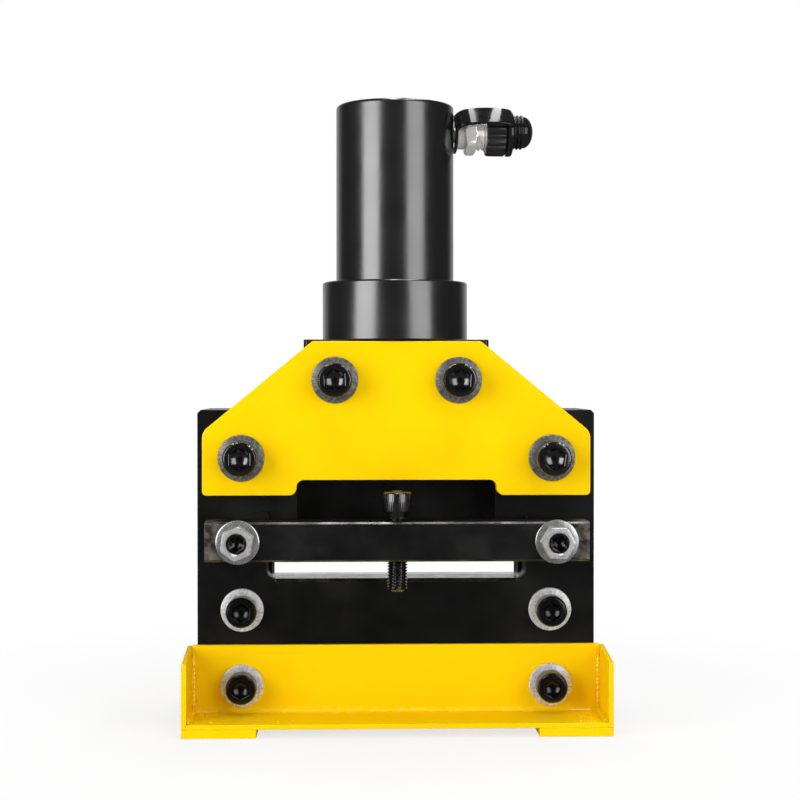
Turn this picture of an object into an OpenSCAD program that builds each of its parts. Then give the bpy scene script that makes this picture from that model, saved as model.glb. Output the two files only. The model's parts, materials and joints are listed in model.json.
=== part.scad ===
// Hydraulic busbar cutter: a three-layer plate stack on a welded base, with a sliding ram and
// blade between its layers, and a single-acting cylinder with a quick coupler on its head block.
// Millimetres. +Z is up, +X is right, -Y is the front, where the hold-down bar is.
// The origin is on the ground, in the middle of the base.

/* [Plate stack] */
// Width of the channel between the guide bars, which takes the widest busbar
channel_w = 151; // [146:1:156]
// Width of each guide bar beside the channel
guide_w = 44.5; // [42:0.5:48]
// Thickness of each of the three plate layers
layer_t = 22; // [20:1:24]
// Height of the stack's top edge above the ground
body_top = 190; // [188:1:198]
// Chamfer on the stack's two top corners
body_chamfer = 2; // [1:0.5:4]
// How far the window above the slot stays inside the channel on each side
window_inset = 15.5; // [12:0.5:18]

/* [Cutting slot] */
// How far the slot in the outer plates reaches past the channel on each side
slot_margin = 2.5; // [0.5:0.5:4]
// Height of the slot's front floor above the ground
slot_z = 88; // [84:1:92]
// Height of the slot's mouth
slot_h = 28; // [24:1:30]
// Radius in the slot's lower corners
slot_r = 5; // [3:0.5:8]
// Chamfer along the slot's front edge
slot_chamfer = 1.7; // [0.6:0.1:2.5]

/* [Ram and blades] */
// Daylight between the slot's floor and the moving blade at rest
open_gap = 13; // [12:0.5:15]
// Rise of the moving blade's slanted edge over its width
edge_rise = 5; // [3:0.5:6]
// How far the slanted edge passes the fixed edge at full stroke
overrun = 2; // [1:0.5:3]
// Height of the moving blade
blade_h = 39; // [36:1:40]
// Height of the fixed blade
fixed_blade_h = 26; // [22:1:30]
// Height over which the ram's tongue backs the moving blade
tongue_lap = 20; // [16:1:20]
// Height of the ram above the blade
ram_h = 34; // [30:1:36]
// Gap between the two cutting faces
shear_gap = 0.2; // [0.1:0.05:0.4]
// Gap between the ram and the plates and guide bars beside it
ram_gap = 0.3; // [0.2:0.05:0.5]
// Height of the relief bevel behind the moving edge
bevel_h = 7; // [5:0.5:9]
// Depth of the relief bevel behind the moving edge
bevel_t = 4; // [3:0.5:6]
// Diameter of the blade screws
blade_screw_d = 6; // [5:1:8]
// Distance between neighbouring blade screws
blade_screw_pitch = 36; // [30:1:38]
// Number of screws in each blade
blade_screw_n = 4; // [2:1:4]

/* [Yoke plates] */
// Thickness of each yellow yoke plate
yoke_t = 10; // [8:1:12]
// How far each side of the yoke stays inside the stack
yoke_inset = 3.7; // [2:0.1:6]
// Height of the yoke's side legs above the ground
yoke_low = 139; // [137:0.5:144]
// Height of the yoke's middle above its side legs
yoke_step = 9.2; // [6:0.2:11]
// How far the yoke's slope starts below the stack's top
yoke_shoulder_drop = 13; // [8:1:16]
// How far the yoke's flat top stays inside the head block on each side
yoke_top_inset = 5.5; // [3:0.5:8]
// How far the yoke's top stays below the head block's top
yoke_top_gap = 1.2; // [0.6:0.2:3]
// Radius on the yoke's shoulders
yoke_shoulder_r = 8; // [4:0.5:12]
// Radius on the yoke's other outer corners
yoke_corner_r = 2.5; // [1:0.5:4]

/* [Head block and collar] */
// Gap on each side between the head block and the window
head_side_gap = 4; // [2:0.5:6]
// Height of the head block
head_h = 54.5; // [52:0.5:58]
// How far the head block reaches down into the window
head_drop = 12; // [10:1:13]
// Chamfer on the head block's upright edges
head_chamfer = 1.5; // [1:0.5:3]
// Thickness of the head block under the gland
head_seat_t = 12; // [10:1:14]
// Thickness of the collar's wall round the cylinder's foot
collar_wall = 8.5; // [6:0.5:10]
// Height of the collar
collar_h = 36; // [30:1:42]
// Chamfer on the collar's rims
collar_chamfer = 1.2; // [0.6:0.2:2]

/* [Cylinder] */
// Outer diameter of the cylinder
barrel_d = 73; // [70:1:76]
// Length of the cylinder above the head block
barrel_h = 145.5; // [140:0.5:156]
// Bore of the cylinder
bore_d = 52; // [48:1:54]
// Thickness of the cylinder's closed top
barrel_top_t = 20; // [20:1:24]
// Radius of the cylinder's top rim
barrel_rim_r = 2; // [1:0.5:4]
// Diameter of the spigot that screws into the head block
spigot_d = 64; // [60:1:66]
// Diameter of the oil passage
port_d = 5; // [4:0.5:6]

/* [Gland] */
// Height of the gland's flange
gland_flange_h = 8; // [6:1:10]
// Height of the gland's sleeve
gland_sleeve_h = 16; // [14:1:20]
// Cord diameter of the gland's O-ring
oring_d = 3.5; // [2.5:0.5:4]
// Outer diameter of the rod wiper
wiper_d = 40; // [36:1:44]
// Height of the rod wiper
wiper_h = 6; // [4:1:8]

/* [Piston and rod] */
// Diameter of the piston rod
rod_d = 30; // [26:1:32]
// Height of the piston
piston_h = 30; // [28:1:34]
// Oil gap above the piston at rest
piston_top_gap = 2; // [1:0.5:4]
// Depth of the recess for the nut in the piston's top
nut_recess_h = 14; // [12:1:16]
// Diameter of the recess for the nut
nut_recess_d = 36; // [34:0.5:38]
// Diameter of the rod's neck through the piston
rod_neck_d = 18; // [14:1:20]
// Width across flats of the piston nut
piston_nut_af = 27; // [24:1:28]
// Height of the piston nut
piston_nut_h = 11; // [8:1:12]
// Height of the piston seal
seal_h = 5; // [4:0.5:6]
// Depth of the piston seal's groove
seal_depth = 4.5; // [3:0.5:5]
// Height of the piston's guide ring
guide_ring_h = 7; // [5:1:8]
// Depth of the guide ring's groove
guide_ring_t = 2.5; // [2:0.5:3]
// Diameter of the rod's tail in the ram
rod_tail_d = 14; // [10:1:15]
// Length of the rod's tail in the ram
rod_tail_len = 22; // [16:1:26]
// Diameter of the cross pin through ram and tail
pin_d = 6; // [4:1:6]

/* [Return spring] */
// Wire diameter of the return spring
wire_d = 6; // [5:0.5:7]
// Mean diameter of the return spring
spring_d = 41; // [39:0.5:42]
// Turns of the return spring
spring_turns = 9; // [7:1:10]

/* [Screws of the stack and base] */
// Distance of the outer screws from the stack's sides
screw_edge = 27; // [25:1:29]
// Height of the base screws
base_screw_z = 24; // [23:0.5:27]
// Height of the middle screws
body_screw_z = 69.3; // [66:0.1:72]
// Distance from the middle screws down to the guide bars' ends
guide_foot = 18; // [14:1:20]
// Diameter of the base and middle screws
screw_d = 12; // [10:1:12]
// Head diameter of the base and middle screws
screw_head_d = 18.5; // [17:0.5:20]
// Head height of the base and middle screws
screw_head_h = 12; // [10:1:13]
// Width across flats of their hexagon sockets
screw_socket_af = 10; // [8:1:11]
// Diameter of their washers
washer_d = 26; // [24:0.5:28]
// Thickness of their washers
washer_t = 2.5; // [2:0.1:3]
// Width across flats of their nuts
nut_af = 18; // [17:0.5:19]
// Height of their nuts
nut_h = 10.5; // [8:0.5:12]
// How far these screws stand out of their nuts
screw_proud = 2; // [1:0.5:4]

/* [Screws of the yoke] */
// Height of the outer yoke screws
yoke_screw_z = 161.4; // [158:0.1:164]
// Distance of the inner yoke screws from the middle
head_screw_x = 37; // [36:0.5:40]
// How far the inner yoke screws sit below the head block's top
head_screw_drop = 24.5; // [22:0.5:27]
// Diameter of the yoke screws
yoke_screw_d = 14; // [12:1:14]
// Head diameter of the yoke screws
yoke_head_d = 21; // [20:0.5:22]
// Head height of the yoke screws
yoke_head_h = 14; // [12:1:15]
// Width across flats of their hexagon sockets
yoke_socket_af = 12; // [10:1:13]
// Diameter of their washers
yoke_washer_d = 28; // [26:0.5:30]
// Thickness of their washers
yoke_washer_t = 2.5; // [2:0.1:3]
// Length of the inner screws, which end in the head block
head_screw_len = 30; // [26:1:31]
// Gap between the tips of a front and a rear outer screw
tip_gap = 2; // [1:0.5:6]

/* [Hold-down bar] */
// How far each end of the bar in front of the slot stays inside the stack
bar_inset = 6.5; // [4:0.5:10]
// Height of the bar
bar_h = 23.5; // [22:0.5:26]
// Depth of the bar
bar_depth = 25; // [22:1:25]
// Height of the bar's underside above the ground
bar_z = 101; // [99:0.5:103]
// Chamfer along the bar's edges
bar_chamfer = 1.2; // [0.6:0.2:2]
// Thickness of the two plates that keep the bar off the stack
spacer_t = 3; // [2:0.5:4]
// Length of these plates
spacer_w = 39; // [34:1:42]
// Height of these plates
spacer_h = 24; // [20:1:26]
// Distance of the studs from the stack's sides
stud_edge = 26; // [25:0.5:28]
// Diameter of the studs
stud_d = 12; // [10:1:12]
// Depth of the studs in the guide bars
stud_grip = 12; // [8:1:14]
// How far the studs' ends stay inside their nuts
stud_short = 0.5; // [0:0.1:2]
// Width across flats of the stud's hexagon socket
stud_socket_af = 6; // [5:1:7]
// Width across flats of the flange nuts
flange_nut_af = 18; // [17:0.5:19]
// Height of the flange nuts
flange_nut_h = 12; // [10:0.5:12]
// Diameter of the flange nuts' flanges
flange_d = 26; // [25:0.5:27]
// Height of the flange nuts' flanges
flange_h = 3.4; // [2.5:0.1:4]

/* [Hold-down screw] */
// Diameter of the hold-down screw
hold_d = 12; // [10:1:12]
// Head diameter of the hold-down screw
hold_head_d = 18; // [16:0.5:18]
// Head height of the hold-down screw
hold_head_h = 12; // [10:0.5:12]
// Width across flats of its hexagon socket
hold_socket_af = 10; // [8:1:10]
// Length of its shank
hold_len = 47; // [44:1:50]
// Gap between its head and the bar at rest
hold_lift = 5.5; // [5.2:0.1:6]
// Gap between its head and the yoke plate that it rises past
hold_clear = 0.5; // [0.4:0.1:1]

/* [Base] */
// Thickness of the foot pads
foot_t = 5; // [4:0.5:6]
// Length of each foot pad
foot_w = 43.5; // [40:0.5:48]
// Thickness of the base's bent and end plates
tray_t = 3; // [2.5:0.5:4]
// How far the bent plates reach past each side of the stack
tray_over = 3; // [2:0.5:6]
// How far each tray reaches out from the stack
tray_depth = 40; // [38:1:46]
// Height of the bent plates' upright legs above the ground
tray_h = 48.5; // [46:0.5:52]
// Height of the end plates above the ground at their outer ends
end_h = 43.3; // [40:0.1:45]
// Height of the end plates above the ground where they meet the stack
end_back_h = 47.9; // [45.5:0.1:48.5]
// Inner radius of the plates' bend
bend_r = 2.5; // [1.5:0.5:2.5]

/* [Coupler] */
// Angle by which the coupler points back from the right
coupler_turn = 4; // [0:1:20]
// Distance of the coupler's axis below the cylinder's top
coupler_drop = 16.5; // [16:0.1:17]
// Diameter of the nipple's threaded shank
shank_d = 16; // [14:0.5:16]
// Depth of the shank in the cylinder's wall
shank_len = 8.5; // [8:0.1:9]
// Diameter of the shoulder that keeps the strap's first ring on the shank
shoulder_d = 18.4; // [18:0.2:20]
// Length of that shoulder
shoulder_len = 4.6; // [4:0.1:6]
// Width across flats of the nipple's hexagon
coupler_af = 23; // [22:0.5:24]
// Length of the nipple's hexagon
coupler_hex_len = 7.2; // [6.5:0.1:9]
// Diameter of the nipple's threaded neck
neck_d = 20; // [19:0.5:20.5]
// Length of the nipple's threaded neck
neck_len = 11; // [10:0.1:12]
// Diameter of the nipple's nose
nose_d = 14; // [13:0.5:15]
// Length of the nipple's nose
nose_len = 6; // [5.5:0.1:6.5]
// Bore of the nipple
nipple_bore = 9; // [8:0.5:9.5]
// Diameter of the hole in the nipple's nose
mouth_d = 5; // [4:0.5:6]

/* [Poppet] */
// How far the poppet can be pushed in
poppet_travel = 3; // [2:0.5:4]
// Gap round the poppet
poppet_gap = 0.2; // [0.1:0.05:0.3]
// Length of the poppet's cylindrical head
poppet_head_len = 4; // [3:0.5:5]
// Diameter of the poppet's stem
stem_d = 3; // [2.5:0.5:3.5]
// Wire diameter of the poppet's spring
poppet_wire_d = 1; // [0.8:0.1:1.2]
// Turns of the poppet's spring
poppet_spring_turns = 6; // [5:1:8]
// Thickness of the retainer behind the spring
retainer_t = 3; // [2:0.5:4]

/* [Dust cap and strap] */
// Length of thread that shows between hexagon and cap
neck_show = 6.3; // [5.5:0.1:7]
// Diameter of the cap's ribbed barrel
cap_d = 26.8; // [26:0.1:27.2]
// Length of the cap's ribbed barrel
cap_len = 12.5; // [12.2:0.1:13.5]
// Number of ribs on the cap
cap_ribs = 18; // [12:1:24]
// Depth of the ribs
rib_depth = 1; // [0.6:0.1:1.4]
// Width of each rib
rib_w = 2.2; // [1.4:0.1:2.6]
// Gap between the cap and what it covers
cap_gap = 0.3; // [0.2:0.05:0.5]
// Diameter of the stub that carries the strap's second end
stub_d = 18; // [17:0.5:19]
// Length of that stub
stub_len = 3; // [2:0.1:4]
// Thickness of the strap's second end
strap_end_t = 4; // [4:0.1:5]
// Diameter of the knob on the strap's second end
knob_d = 21.4; // [20:0.2:24]
// Length of the knob
knob_len = 13.7; // [12:0.1:16]
// How far the knob sits above the coupler's axis
knob_rise = 1.8; // [0:0.2:3]
// Number of ridges round the knob
knob_ridges = 3; // [2:1:5]
// Depth of the ridges
ridge_depth = 0.9; // [0.5:0.1:1.2]
// Width of the strap
strap_w = 13.2; // [12:0.1:14]
// Thickness of the strap
strap_t = 2.2; // [1.6:0.1:2.6]
// Gap between the strap's rings and what they sit on
strap_gap = 0.3; // [0.2:0.05:0.5]
// Thickness of the strap's first ring
ring_t = 1.5; // [1.2:0.1:2]
// Outer diameter of the strap's first ring
ring_d = 24; // [22:0.5:25]
// Outer diameter of the strap's second end
strap_end_d = 28.6; // [28:0.2:30]
// Distance of the strap's ends from the coupler's axis
strap_reach = 14.5; // [14.4:0.1:16]
// How far the strap bows out between its ends
strap_bow = 2; // [1.6:0.1:2.4]
// Angle of the strap above the horizontal, on the front side
strap_lift = 37; // [30:1:50]

/* [Fits] */
// Radial running gap of the rod, the piston and its seals
run_gap = 0.05; // [0.02:0.01:0.1]
// Radial gap of threads and of pieces that are pressed or screwed together
seat_gap = 0.05; // [0.02:0.01:0.1]
// How much wider a clearance hole is than its screw
hole_extra = 1; // [0.6:0.1:1.5]

/* [Hidden] */

$fn = 96;
eps = 0.5; // how far a cutting shape runs past a face
socket_share = 0.55; // depth of a hexagon socket as a share of its width across flats
thread_chamfer = 1; // chamfer on a screw's tip
head_edge = 0.8; // chamfer on a screw head's rim
sides = [-1, 1];

yellow = [1, 0.8, 0];
black_steel = [0.14, 0.14, 0.15];
dark_steel = [0.22, 0.22, 0.23];
bare_steel = [0.62, 0.62, 0.64];
zinc = [0.75, 0.76, 0.78];
bright_steel = [0.8, 0.8, 0.82];
rubber_black = [0.07, 0.07, 0.08];
seal_blue = [0.2, 0.3, 0.5];

// Widths that follow the channel, and the faces of the stack, measured from its middle plane
body_w = channel_w + 2 * guide_w;
slot_w = channel_w + 2 * slot_margin;
window_w = channel_w - 2 * window_inset;
bar_len = body_w - 2 * bar_inset;
core = layer_t / 2;
face = core + layer_t;

// Heights of the slot, the blades and the ram
rest_edge = slot_z + open_gap;
stroke = open_gap + edge_rise + overrun;
blade_top = rest_edge + blade_h;
tongue_z = blade_top - tongue_lap;
ram_top = blade_top + ram_h;
fixed_low = slot_z - fixed_blade_h;
ledge_gap = 3; // room left under the moving edge at full stroke
ledge_top = rest_edge - stroke - ledge_gap;
slot_top = slot_z + slot_h;
guide_low = body_screw_z - guide_foot;
slide_half = channel_w / 2 - ram_gap;
slide_back = core - ram_gap;
rake = atan(edge_rise / channel_w);
blade_screw_z = tongue_z + tongue_lap / 2;
fixed_screw_z = (fixed_low + ledge_top) / 2;
blade_head_d = blade_screw_d * 1.6;
blade_head_h = blade_screw_d * 0.9;
blade_socket_af = blade_screw_d * 0.8;
head_sink = 0.2; // how far a blade screw's head stays below the blade's face
blade_screw_x = [for (i = [0 : blade_screw_n - 1]) (i - (blade_screw_n - 1) / 2) * blade_screw_pitch];
blind_wall = 2; // metal left in front of a blind screw's tip

// Head block, cylinder and gland
head_w = window_w - 2 * head_side_gap;
head_low = body_top - head_drop;
head_top = head_low + head_h;
gland_low = head_low + head_seat_t;
spigot_low = gland_low + gland_flange_h;
gland_top = spigot_low + gland_sleeve_h;
collar_d = barrel_d + 2 * collar_wall;
barrel_top = head_top + barrel_h;
bore_top = barrel_top - barrel_top_t;
rod_hole_d = rod_d + 4;
groove_floor_d = bore_d - 2 * oring_d * 0.85;
groove_w = oring_d * 1.3;
oring_z = spigot_low + gland_sleeve_h / 2;

// Piston and rod
piston_top = bore_top - piston_top_gap;
piston_low = piston_top - piston_h;
piston_d = bore_d - 2 * run_gap;
neck_top = piston_top - 1;
recess_low = piston_top - nut_recess_h;
seal_z = piston_top - 4 - seal_h;
guide_ring_z = piston_low + 4;
pin_z = ram_top - rod_tail_len / 2;

// Screw places
screw_x = body_w / 2 - screw_edge;
stud_x = body_w / 2 - stud_edge;
stud_z = bar_z + bar_h / 2;
head_screw_z = head_top - head_screw_drop;
yoke_face = face + yoke_t;
yoke_seat = yoke_face + yoke_washer_t;
yoke_screw_len = yoke_seat - tip_gap / 2;
tray_face = face + tray_t;
tap_extra = 3; // how much deeper a blind tapped hole is than its screw

// Hold-down bar and screw
bar_back = face + spacer_t;
bar_front = bar_back + bar_depth;
bar_top = bar_z + bar_h;
spacer_places = [[-1, 14, 0], [1, -4, 3]]; // side, turn and outward shift of each plate behind the bar
stud_foot = stud_grip - core - 1;
stud_len = stud_foot + bar_front + flange_nut_h - stud_short;
hold_y = -(yoke_face + hold_clear + hold_head_d / 2);
hold_head_z = bar_top + hold_lift;

// Base
floor_top = foot_t + tray_t;
tray_w = body_w + 2 * tray_over;
base_half = tray_w / 2 + tray_t;
tray_edge = face + tray_depth;

// Places along the coupler's axis, measured from the cylinder's axis
coupler_z = barrel_top - coupler_drop;
port_s = barrel_d / 2;
shank_s = port_s - shank_len;
ring_s = port_s + strap_gap;
shoulder_s = ring_s + ring_t + strap_gap;
hex_s = shoulder_s + shoulder_len;
neck_s = hex_s + coupler_hex_len;
nose_s = neck_s + neck_len;
tip_s = nose_s + nose_len;
cap_s = neck_s + neck_show;
stub_s = cap_s + cap_len;
knob_s = stub_s + strap_end_t;
seat_s = nose_s + 1; // where the nipple's bore narrows to its mouth
seat_len = (nipple_bore - mouth_d) / 2;
poppet_front_s = seat_s - poppet_gap;
poppet_back_s = poppet_front_s - poppet_head_len;
retainer_s = shank_s + 1;
stem_s = retainer_s + retainer_t;

// Strap
strap_start_s = ring_s + ring_t / 2;
strap_end_s = stub_s + strap_end_t / 2;
strap_side = -90 - strap_lift; // the strap's direction round the coupler, 0 being straight down
strap_span = strap_end_s - strap_start_s;
strap_r = (pow(strap_span / 2, 2) + pow(strap_bow, 2)) / (2 * strap_bow);

function unit(v) = v / norm(v);
function cross2(a, b) = a[0] * b[1] - a[1] * b[0];

// Outline with rounded corners: pts run anticlockwise, and each corner has its radius in radii
module rounded_outline(pts, radii) {
  n = len(pts);
  prev = [for (i = [0 : n - 1]) unit(pts[(i + n - 1) % n] - pts[i])];
  next = [for (i = [0 : n - 1]) unit(pts[(i + 1) % n] - pts[i])];
  half = [for (i = [0 : n - 1]) acos(prev[i] * next[i]) / 2];
  cut = [for (i = [0 : n - 1]) radii[i] / tan(half[i])];
  centre = [for (i = [0 : n - 1]) pts[i] + unit(prev[i] + next[i]) * radii[i] / sin(half[i])];
  outer = [for (i = [0 : n - 1]) cross2(next[i], prev[i]) > 0];
  difference() {
    union() {
      polygon(pts);
      for (i = [0 : n - 1]) if (radii[i] > 0 && !outer[i]) difference() {
        polygon([pts[i], pts[i] + prev[i] * cut[i], pts[i] + next[i] * cut[i]]);
        translate(centre[i]) circle(r = radii[i]);
      }
    }
    for (i = [0 : n - 1]) if (radii[i] > 0 && outer[i]) difference() {
      polygon([pts[i], pts[i] + prev[i] * cut[i], pts[i] + next[i] * cut[i]]);
      translate(centre[i]) circle(r = radii[i]);
    }
  }
}

// Stands a flat outline upright: its y becomes z, and the slab reaches back to y_back
module upright(y_back, t) {
  translate([0, y_back, 0]) rotate([90, 0, 0]) linear_extrude(t) children();
}

// Points a piece that stands on +Z to the front (side -1) or to the back (side 1)
module facing(x, y, z, side) {
  translate([x, y, z]) rotate([-90 * side, 0, 0]) children();
}

// Places a piece on the coupler's axis, at distance s from the cylinder's axis
module on_coupler(s) {
  translate([0, 0, coupler_z]) rotate([0, 0, coupler_turn]) rotate([0, 90, 0]) translate([0, 0, s]) children();
}

module hex_prism(af, h) {
  cylinder(d = af / cos(30), h = h, $fn = 6);
}

// Hexagon with both ends turned down at its corners
module turned_hex(af, h) {
  corner = af / cos(30) / 2;
  drop = (corner - af * 0.47) * tan(30);
  intersection() {
    hex_prism(af, h);
    rotate_extrude() polygon([
      [0, 0], [af * 0.47, 0], [corner, drop], [corner, h - drop], [af * 0.47, h], [0, h]
    ]);
  }
}

// Socket head screw: the head stands on z = 0 and the shank hangs below it
module socket_screw(d, length, head_d, head_h, socket_af) {
  depth = socket_af * socket_share;
  difference() {
    rotate_extrude() polygon([
      [0, -length], [d / 2 - thread_chamfer, -length], [d / 2, thread_chamfer - length], [d / 2, 0],
      [head_d / 2, 0], [head_d / 2, head_h - head_edge], [head_d / 2 - head_edge, head_h], [0, head_h]
    ]);
    translate([0, 0, head_h - depth]) hex_prism(socket_af, depth + eps);
  }
}

module washer(outer_d, inner_d, t) {
  difference() {
    cylinder(d = outer_d, h = t);
    translate([0, 0, -eps]) cylinder(d = inner_d, h = t + 2 * eps);
  }
}

module hex_nut(af, h, bore) {
  difference() {
    turned_hex(af, h);
    translate([0, 0, -eps]) cylinder(d = bore, h = h + 2 * eps);
  }
}

// Points of a coil's centre line: its first and last turns lie closed, the others share the rest
function coil_rise(u, turns, height, wire) =
  let (dead = wire * 1.08, live = (height - wire - 2 * dead) / (turns - 2))
  wire / 2 + (u < 1 ? u * dead : u < turns - 1 ? dead + (u - 1) * live
    : height - wire - (turns - u) * dead);

// Coil spring that stands on z = 0, of one unbroken six-sided wire
module coil_spring(mean_d, wire, height, turns, steps) {
  n = turns * steps;
  ring = 6;
  points = [for (k = [0 : n], j = [0 : ring - 1])
    let (turn = 360 * k / steps, side = 30 + 60 * j, r = mean_d / 2 + cos(side) * wire / 2)
    [r * cos(turn), r * sin(turn), coil_rise(k / steps, turns, height, wire) + sin(side) * wire / 2]];
  walls = [for (k = [0 : n - 1], j = [0 : ring - 1])
    let (a = k * ring + j, b = k * ring + (j + 1) % ring, c = a + ring, e = b + ring)
    each [[a, b, e], [a, e, c]]];
  start_end = [for (j = [1 : ring - 2]) [0, j + 1, j]];
  last_end = [for (j = [1 : ring - 2]) [n * ring, n * ring + j, n * ring + j + 1]];
  polyhedron(points, concat(walls, start_end, last_end));
}

// Base: two bent plates, bolted to the stack's front and back, with end plates and pads

module tray_profile() {
  rounded_outline(
    [[-face, tray_h], [-tray_face, tray_h], [-tray_face, floor_top], [-tray_edge, floor_top],
     [-tray_edge, foot_t], [-face, foot_t]],
    [0, 0, bend_r, 0, 0, bend_r + tray_t]);
}

module base_tray() {
  difference() {
    translate([-tray_w / 2, 0, 0]) rotate([90, 0, 90]) linear_extrude(tray_w) tray_profile();
    for (sx = sides) facing(sx * screw_x, -face + eps, base_screw_z, -1)
      cylinder(d = screw_d + hole_extra, h = tray_t + 2 * eps);
  }
}

module front_base_tray() {
  color(yellow) base_tray();
}

module rear_base_tray() {
  color(yellow) mirror([0, 1, 0]) base_tray();
}

module base_end_plates() {
  color(yellow)
    for (x = [-base_half, tray_w / 2], side = [-1, 1])
      translate([x, 0, 0]) rotate([90, 0, 90]) linear_extrude(tray_t) polygon([
        [side * face, foot_t], [side * tray_edge, foot_t], [side * tray_edge, end_h], [side * face, end_back_h]]);
}

module foot_pads() {
  color(yellow)
    for (x = [-base_half, base_half - foot_w], y = [-tray_edge, face])
      translate([x, y, 0]) cube([foot_w, tray_depth, foot_t]);
}

// Plate stack: front and rear plates over a middle layer of guide bars, spacer and blades

module stack_outline() {
  w = body_w / 2;
  c = body_chamfer;
  polygon([[-w, foot_t], [w, foot_t], [w, body_top - c], [w - c, body_top],
           [c - w, body_top], [-w, body_top - c]]);
}

module slot_cut(floor_z) {
  half = slot_w / 2;
  translate([-half, floor_z + slot_r]) square([slot_w, slot_top - floor_z - slot_r]);
  translate([slot_r - half, floor_z]) square([slot_w - 2 * slot_r, 2 * slot_r]);
  for (sx = sides) translate([sx * (half - slot_r), floor_z + slot_r]) circle(r = slot_r);
}

module window_cut() {
  translate([-window_w / 2, slot_top - eps]) square([window_w, body_top - slot_top + 2 * eps]);
}

module hole_pair(x, z, d) {
  for (sx = sides) translate([sx * x, z]) circle(d = d);
}

module outer_plate_outline(floor_z) {
  difference() {
    stack_outline();
    slot_cut(floor_z);
    window_cut();
    hole_pair(screw_x, base_screw_z, screw_d + hole_extra);
    hole_pair(screw_x, body_screw_z, screw_d + hole_extra);
    hole_pair(screw_x, yoke_screw_z, yoke_screw_d + hole_extra);
  }
}

module front_body_plate() {
  edge = slot_w - 2 * slot_r;
  color(black_steel) difference() {
    upright(-core, layer_t) difference() {
      outer_plate_outline(slot_z);
      hole_pair(stud_x, stud_z, stud_d + 2 * seat_gap);
    }
    translate([-edge / 2, -face, slot_z]) rotate([45, 0, 0])
      translate([0, -slot_chamfer / sqrt(2), -slot_chamfer / sqrt(2)])
        cube([edge, slot_chamfer * sqrt(2), slot_chamfer * sqrt(2)]);
  }
}

module rear_body_plate() {
  color(black_steel) upright(face, layer_t) outer_plate_outline(ledge_top);
}

// Guide bar on side sx, which locates the ram sideways and takes the yoke screws and a stud
module guide_bar(sx) {
  w = body_w / 2;
  color(dark_steel) difference() {
    upright(core, layer_t) difference() {
      intersection() {
        stack_outline();
        translate([sx > 0 ? channel_w / 2 : -w - eps, guide_low])
          square([w + eps - channel_w / 2, body_top]);
      }
      hole_pair(screw_x, body_screw_z, screw_d + hole_extra);
      hole_pair(screw_x, yoke_screw_z, yoke_screw_d + 2 * seat_gap);
    }
    facing(sx * stud_x, -core - eps, stud_z, 1)
      cylinder(d = stud_d + 2 * seat_gap, h = stud_grip + eps);
  }
}

module left_guide_bar() {
  guide_bar(-1);
}

module right_guide_bar() {
  guide_bar(1);
}

module lower_spacer() {
  half = channel_w / 2;
  color(dark_steel) difference() {
    union() {
      upright(core, layer_t) difference() {
        union() {
          translate([-body_w / 2, foot_t]) square([body_w, guide_low - foot_t]);
          translate([-half, guide_low - eps]) square([channel_w, fixed_low - guide_low + eps]);
        }
        hole_pair(screw_x, base_screw_z, screw_d + hole_extra);
      }
      upright(core, core + shear_gap / 2)
        translate([-half, fixed_low - eps]) square([channel_w, ledge_top - fixed_low + eps]);
    }
    for (x = blade_screw_x) facing(x, -shear_gap / 2 - eps, fixed_screw_z, 1)
      cylinder(d = blade_screw_d + 2 * seat_gap, h = core - blind_wall + eps);
  }
}

module fixed_blade() {
  color(bare_steel) difference() {
    upright(-shear_gap / 2, core - shear_gap / 2)
      translate([-channel_w / 2, fixed_low]) square([channel_w, fixed_blade_h]);
    for (x = blade_screw_x) facing(x, -core - eps, fixed_screw_z, 1) {
      cylinder(d = blade_screw_d + 2 * seat_gap, h = core + 2 * eps);
      cylinder(d = blade_head_d + 2 * hole_extra, h = blade_head_h + eps);
    }
  }
}

module fixed_blade_screws() {
  color(dark_steel)
    for (x = blade_screw_x) facing(x, blade_head_h - core, fixed_screw_z, -1)
      socket_screw(blade_screw_d, layer_t - blade_head_h - 2 * blind_wall,
                   blade_head_d, blade_head_h - head_sink, blade_socket_af);
}

// Through screws of the stack, with washers and nuts

module through_screws(z, seat) {
  length = 2 * seat + nut_h + screw_proud;
  for (sx = sides) facing(sx * screw_x, -seat, z, -1)
    socket_screw(screw_d, length, screw_head_d, screw_head_h, screw_socket_af);
}

module body_screws() {
  color(dark_steel) through_screws(body_screw_z, face + washer_t);
}

module base_screws() {
  color(dark_steel) through_screws(base_screw_z, tray_face + washer_t);
}

module stack_washers() {
  color(zinc)
    for (sx = sides, sy = sides, row = [[body_screw_z, face], [base_screw_z, tray_face]])
      facing(sx * screw_x, sy * row[1], row[0], sy) washer(washer_d, screw_d + hole_extra, washer_t);
}

module stack_nuts() {
  color(zinc)
    for (sx = sides, row = [[body_screw_z, face], [base_screw_z, tray_face]])
      facing(sx * screw_x, row[1] + washer_t, row[0], 1) hex_nut(nut_af, nut_h, screw_d + 2 * seat_gap);
}

// Yoke: a yellow plate on each face ties the head block to the stack

module yoke_outline() {
  w = body_w / 2 - yoke_inset;
  notch = window_w / 2;
  step_r = yoke_step * 0.48;
  mid_z = yoke_low + yoke_step;
  shoulder_z = body_top - yoke_shoulder_drop;
  top_z = head_top - yoke_top_gap;
  top = head_w / 2 - yoke_top_inset;
  rounded_outline(
    [[-w, yoke_low], [-notch, yoke_low], [-notch, mid_z], [notch, mid_z], [notch, yoke_low], [w, yoke_low],
     [w, shoulder_z], [top, top_z], [-top, top_z], [-w, shoulder_z]],
    [yoke_corner_r, step_r, step_r, step_r, step_r, yoke_corner_r,
     yoke_shoulder_r, yoke_corner_r, yoke_corner_r, yoke_shoulder_r]);
}

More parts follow.
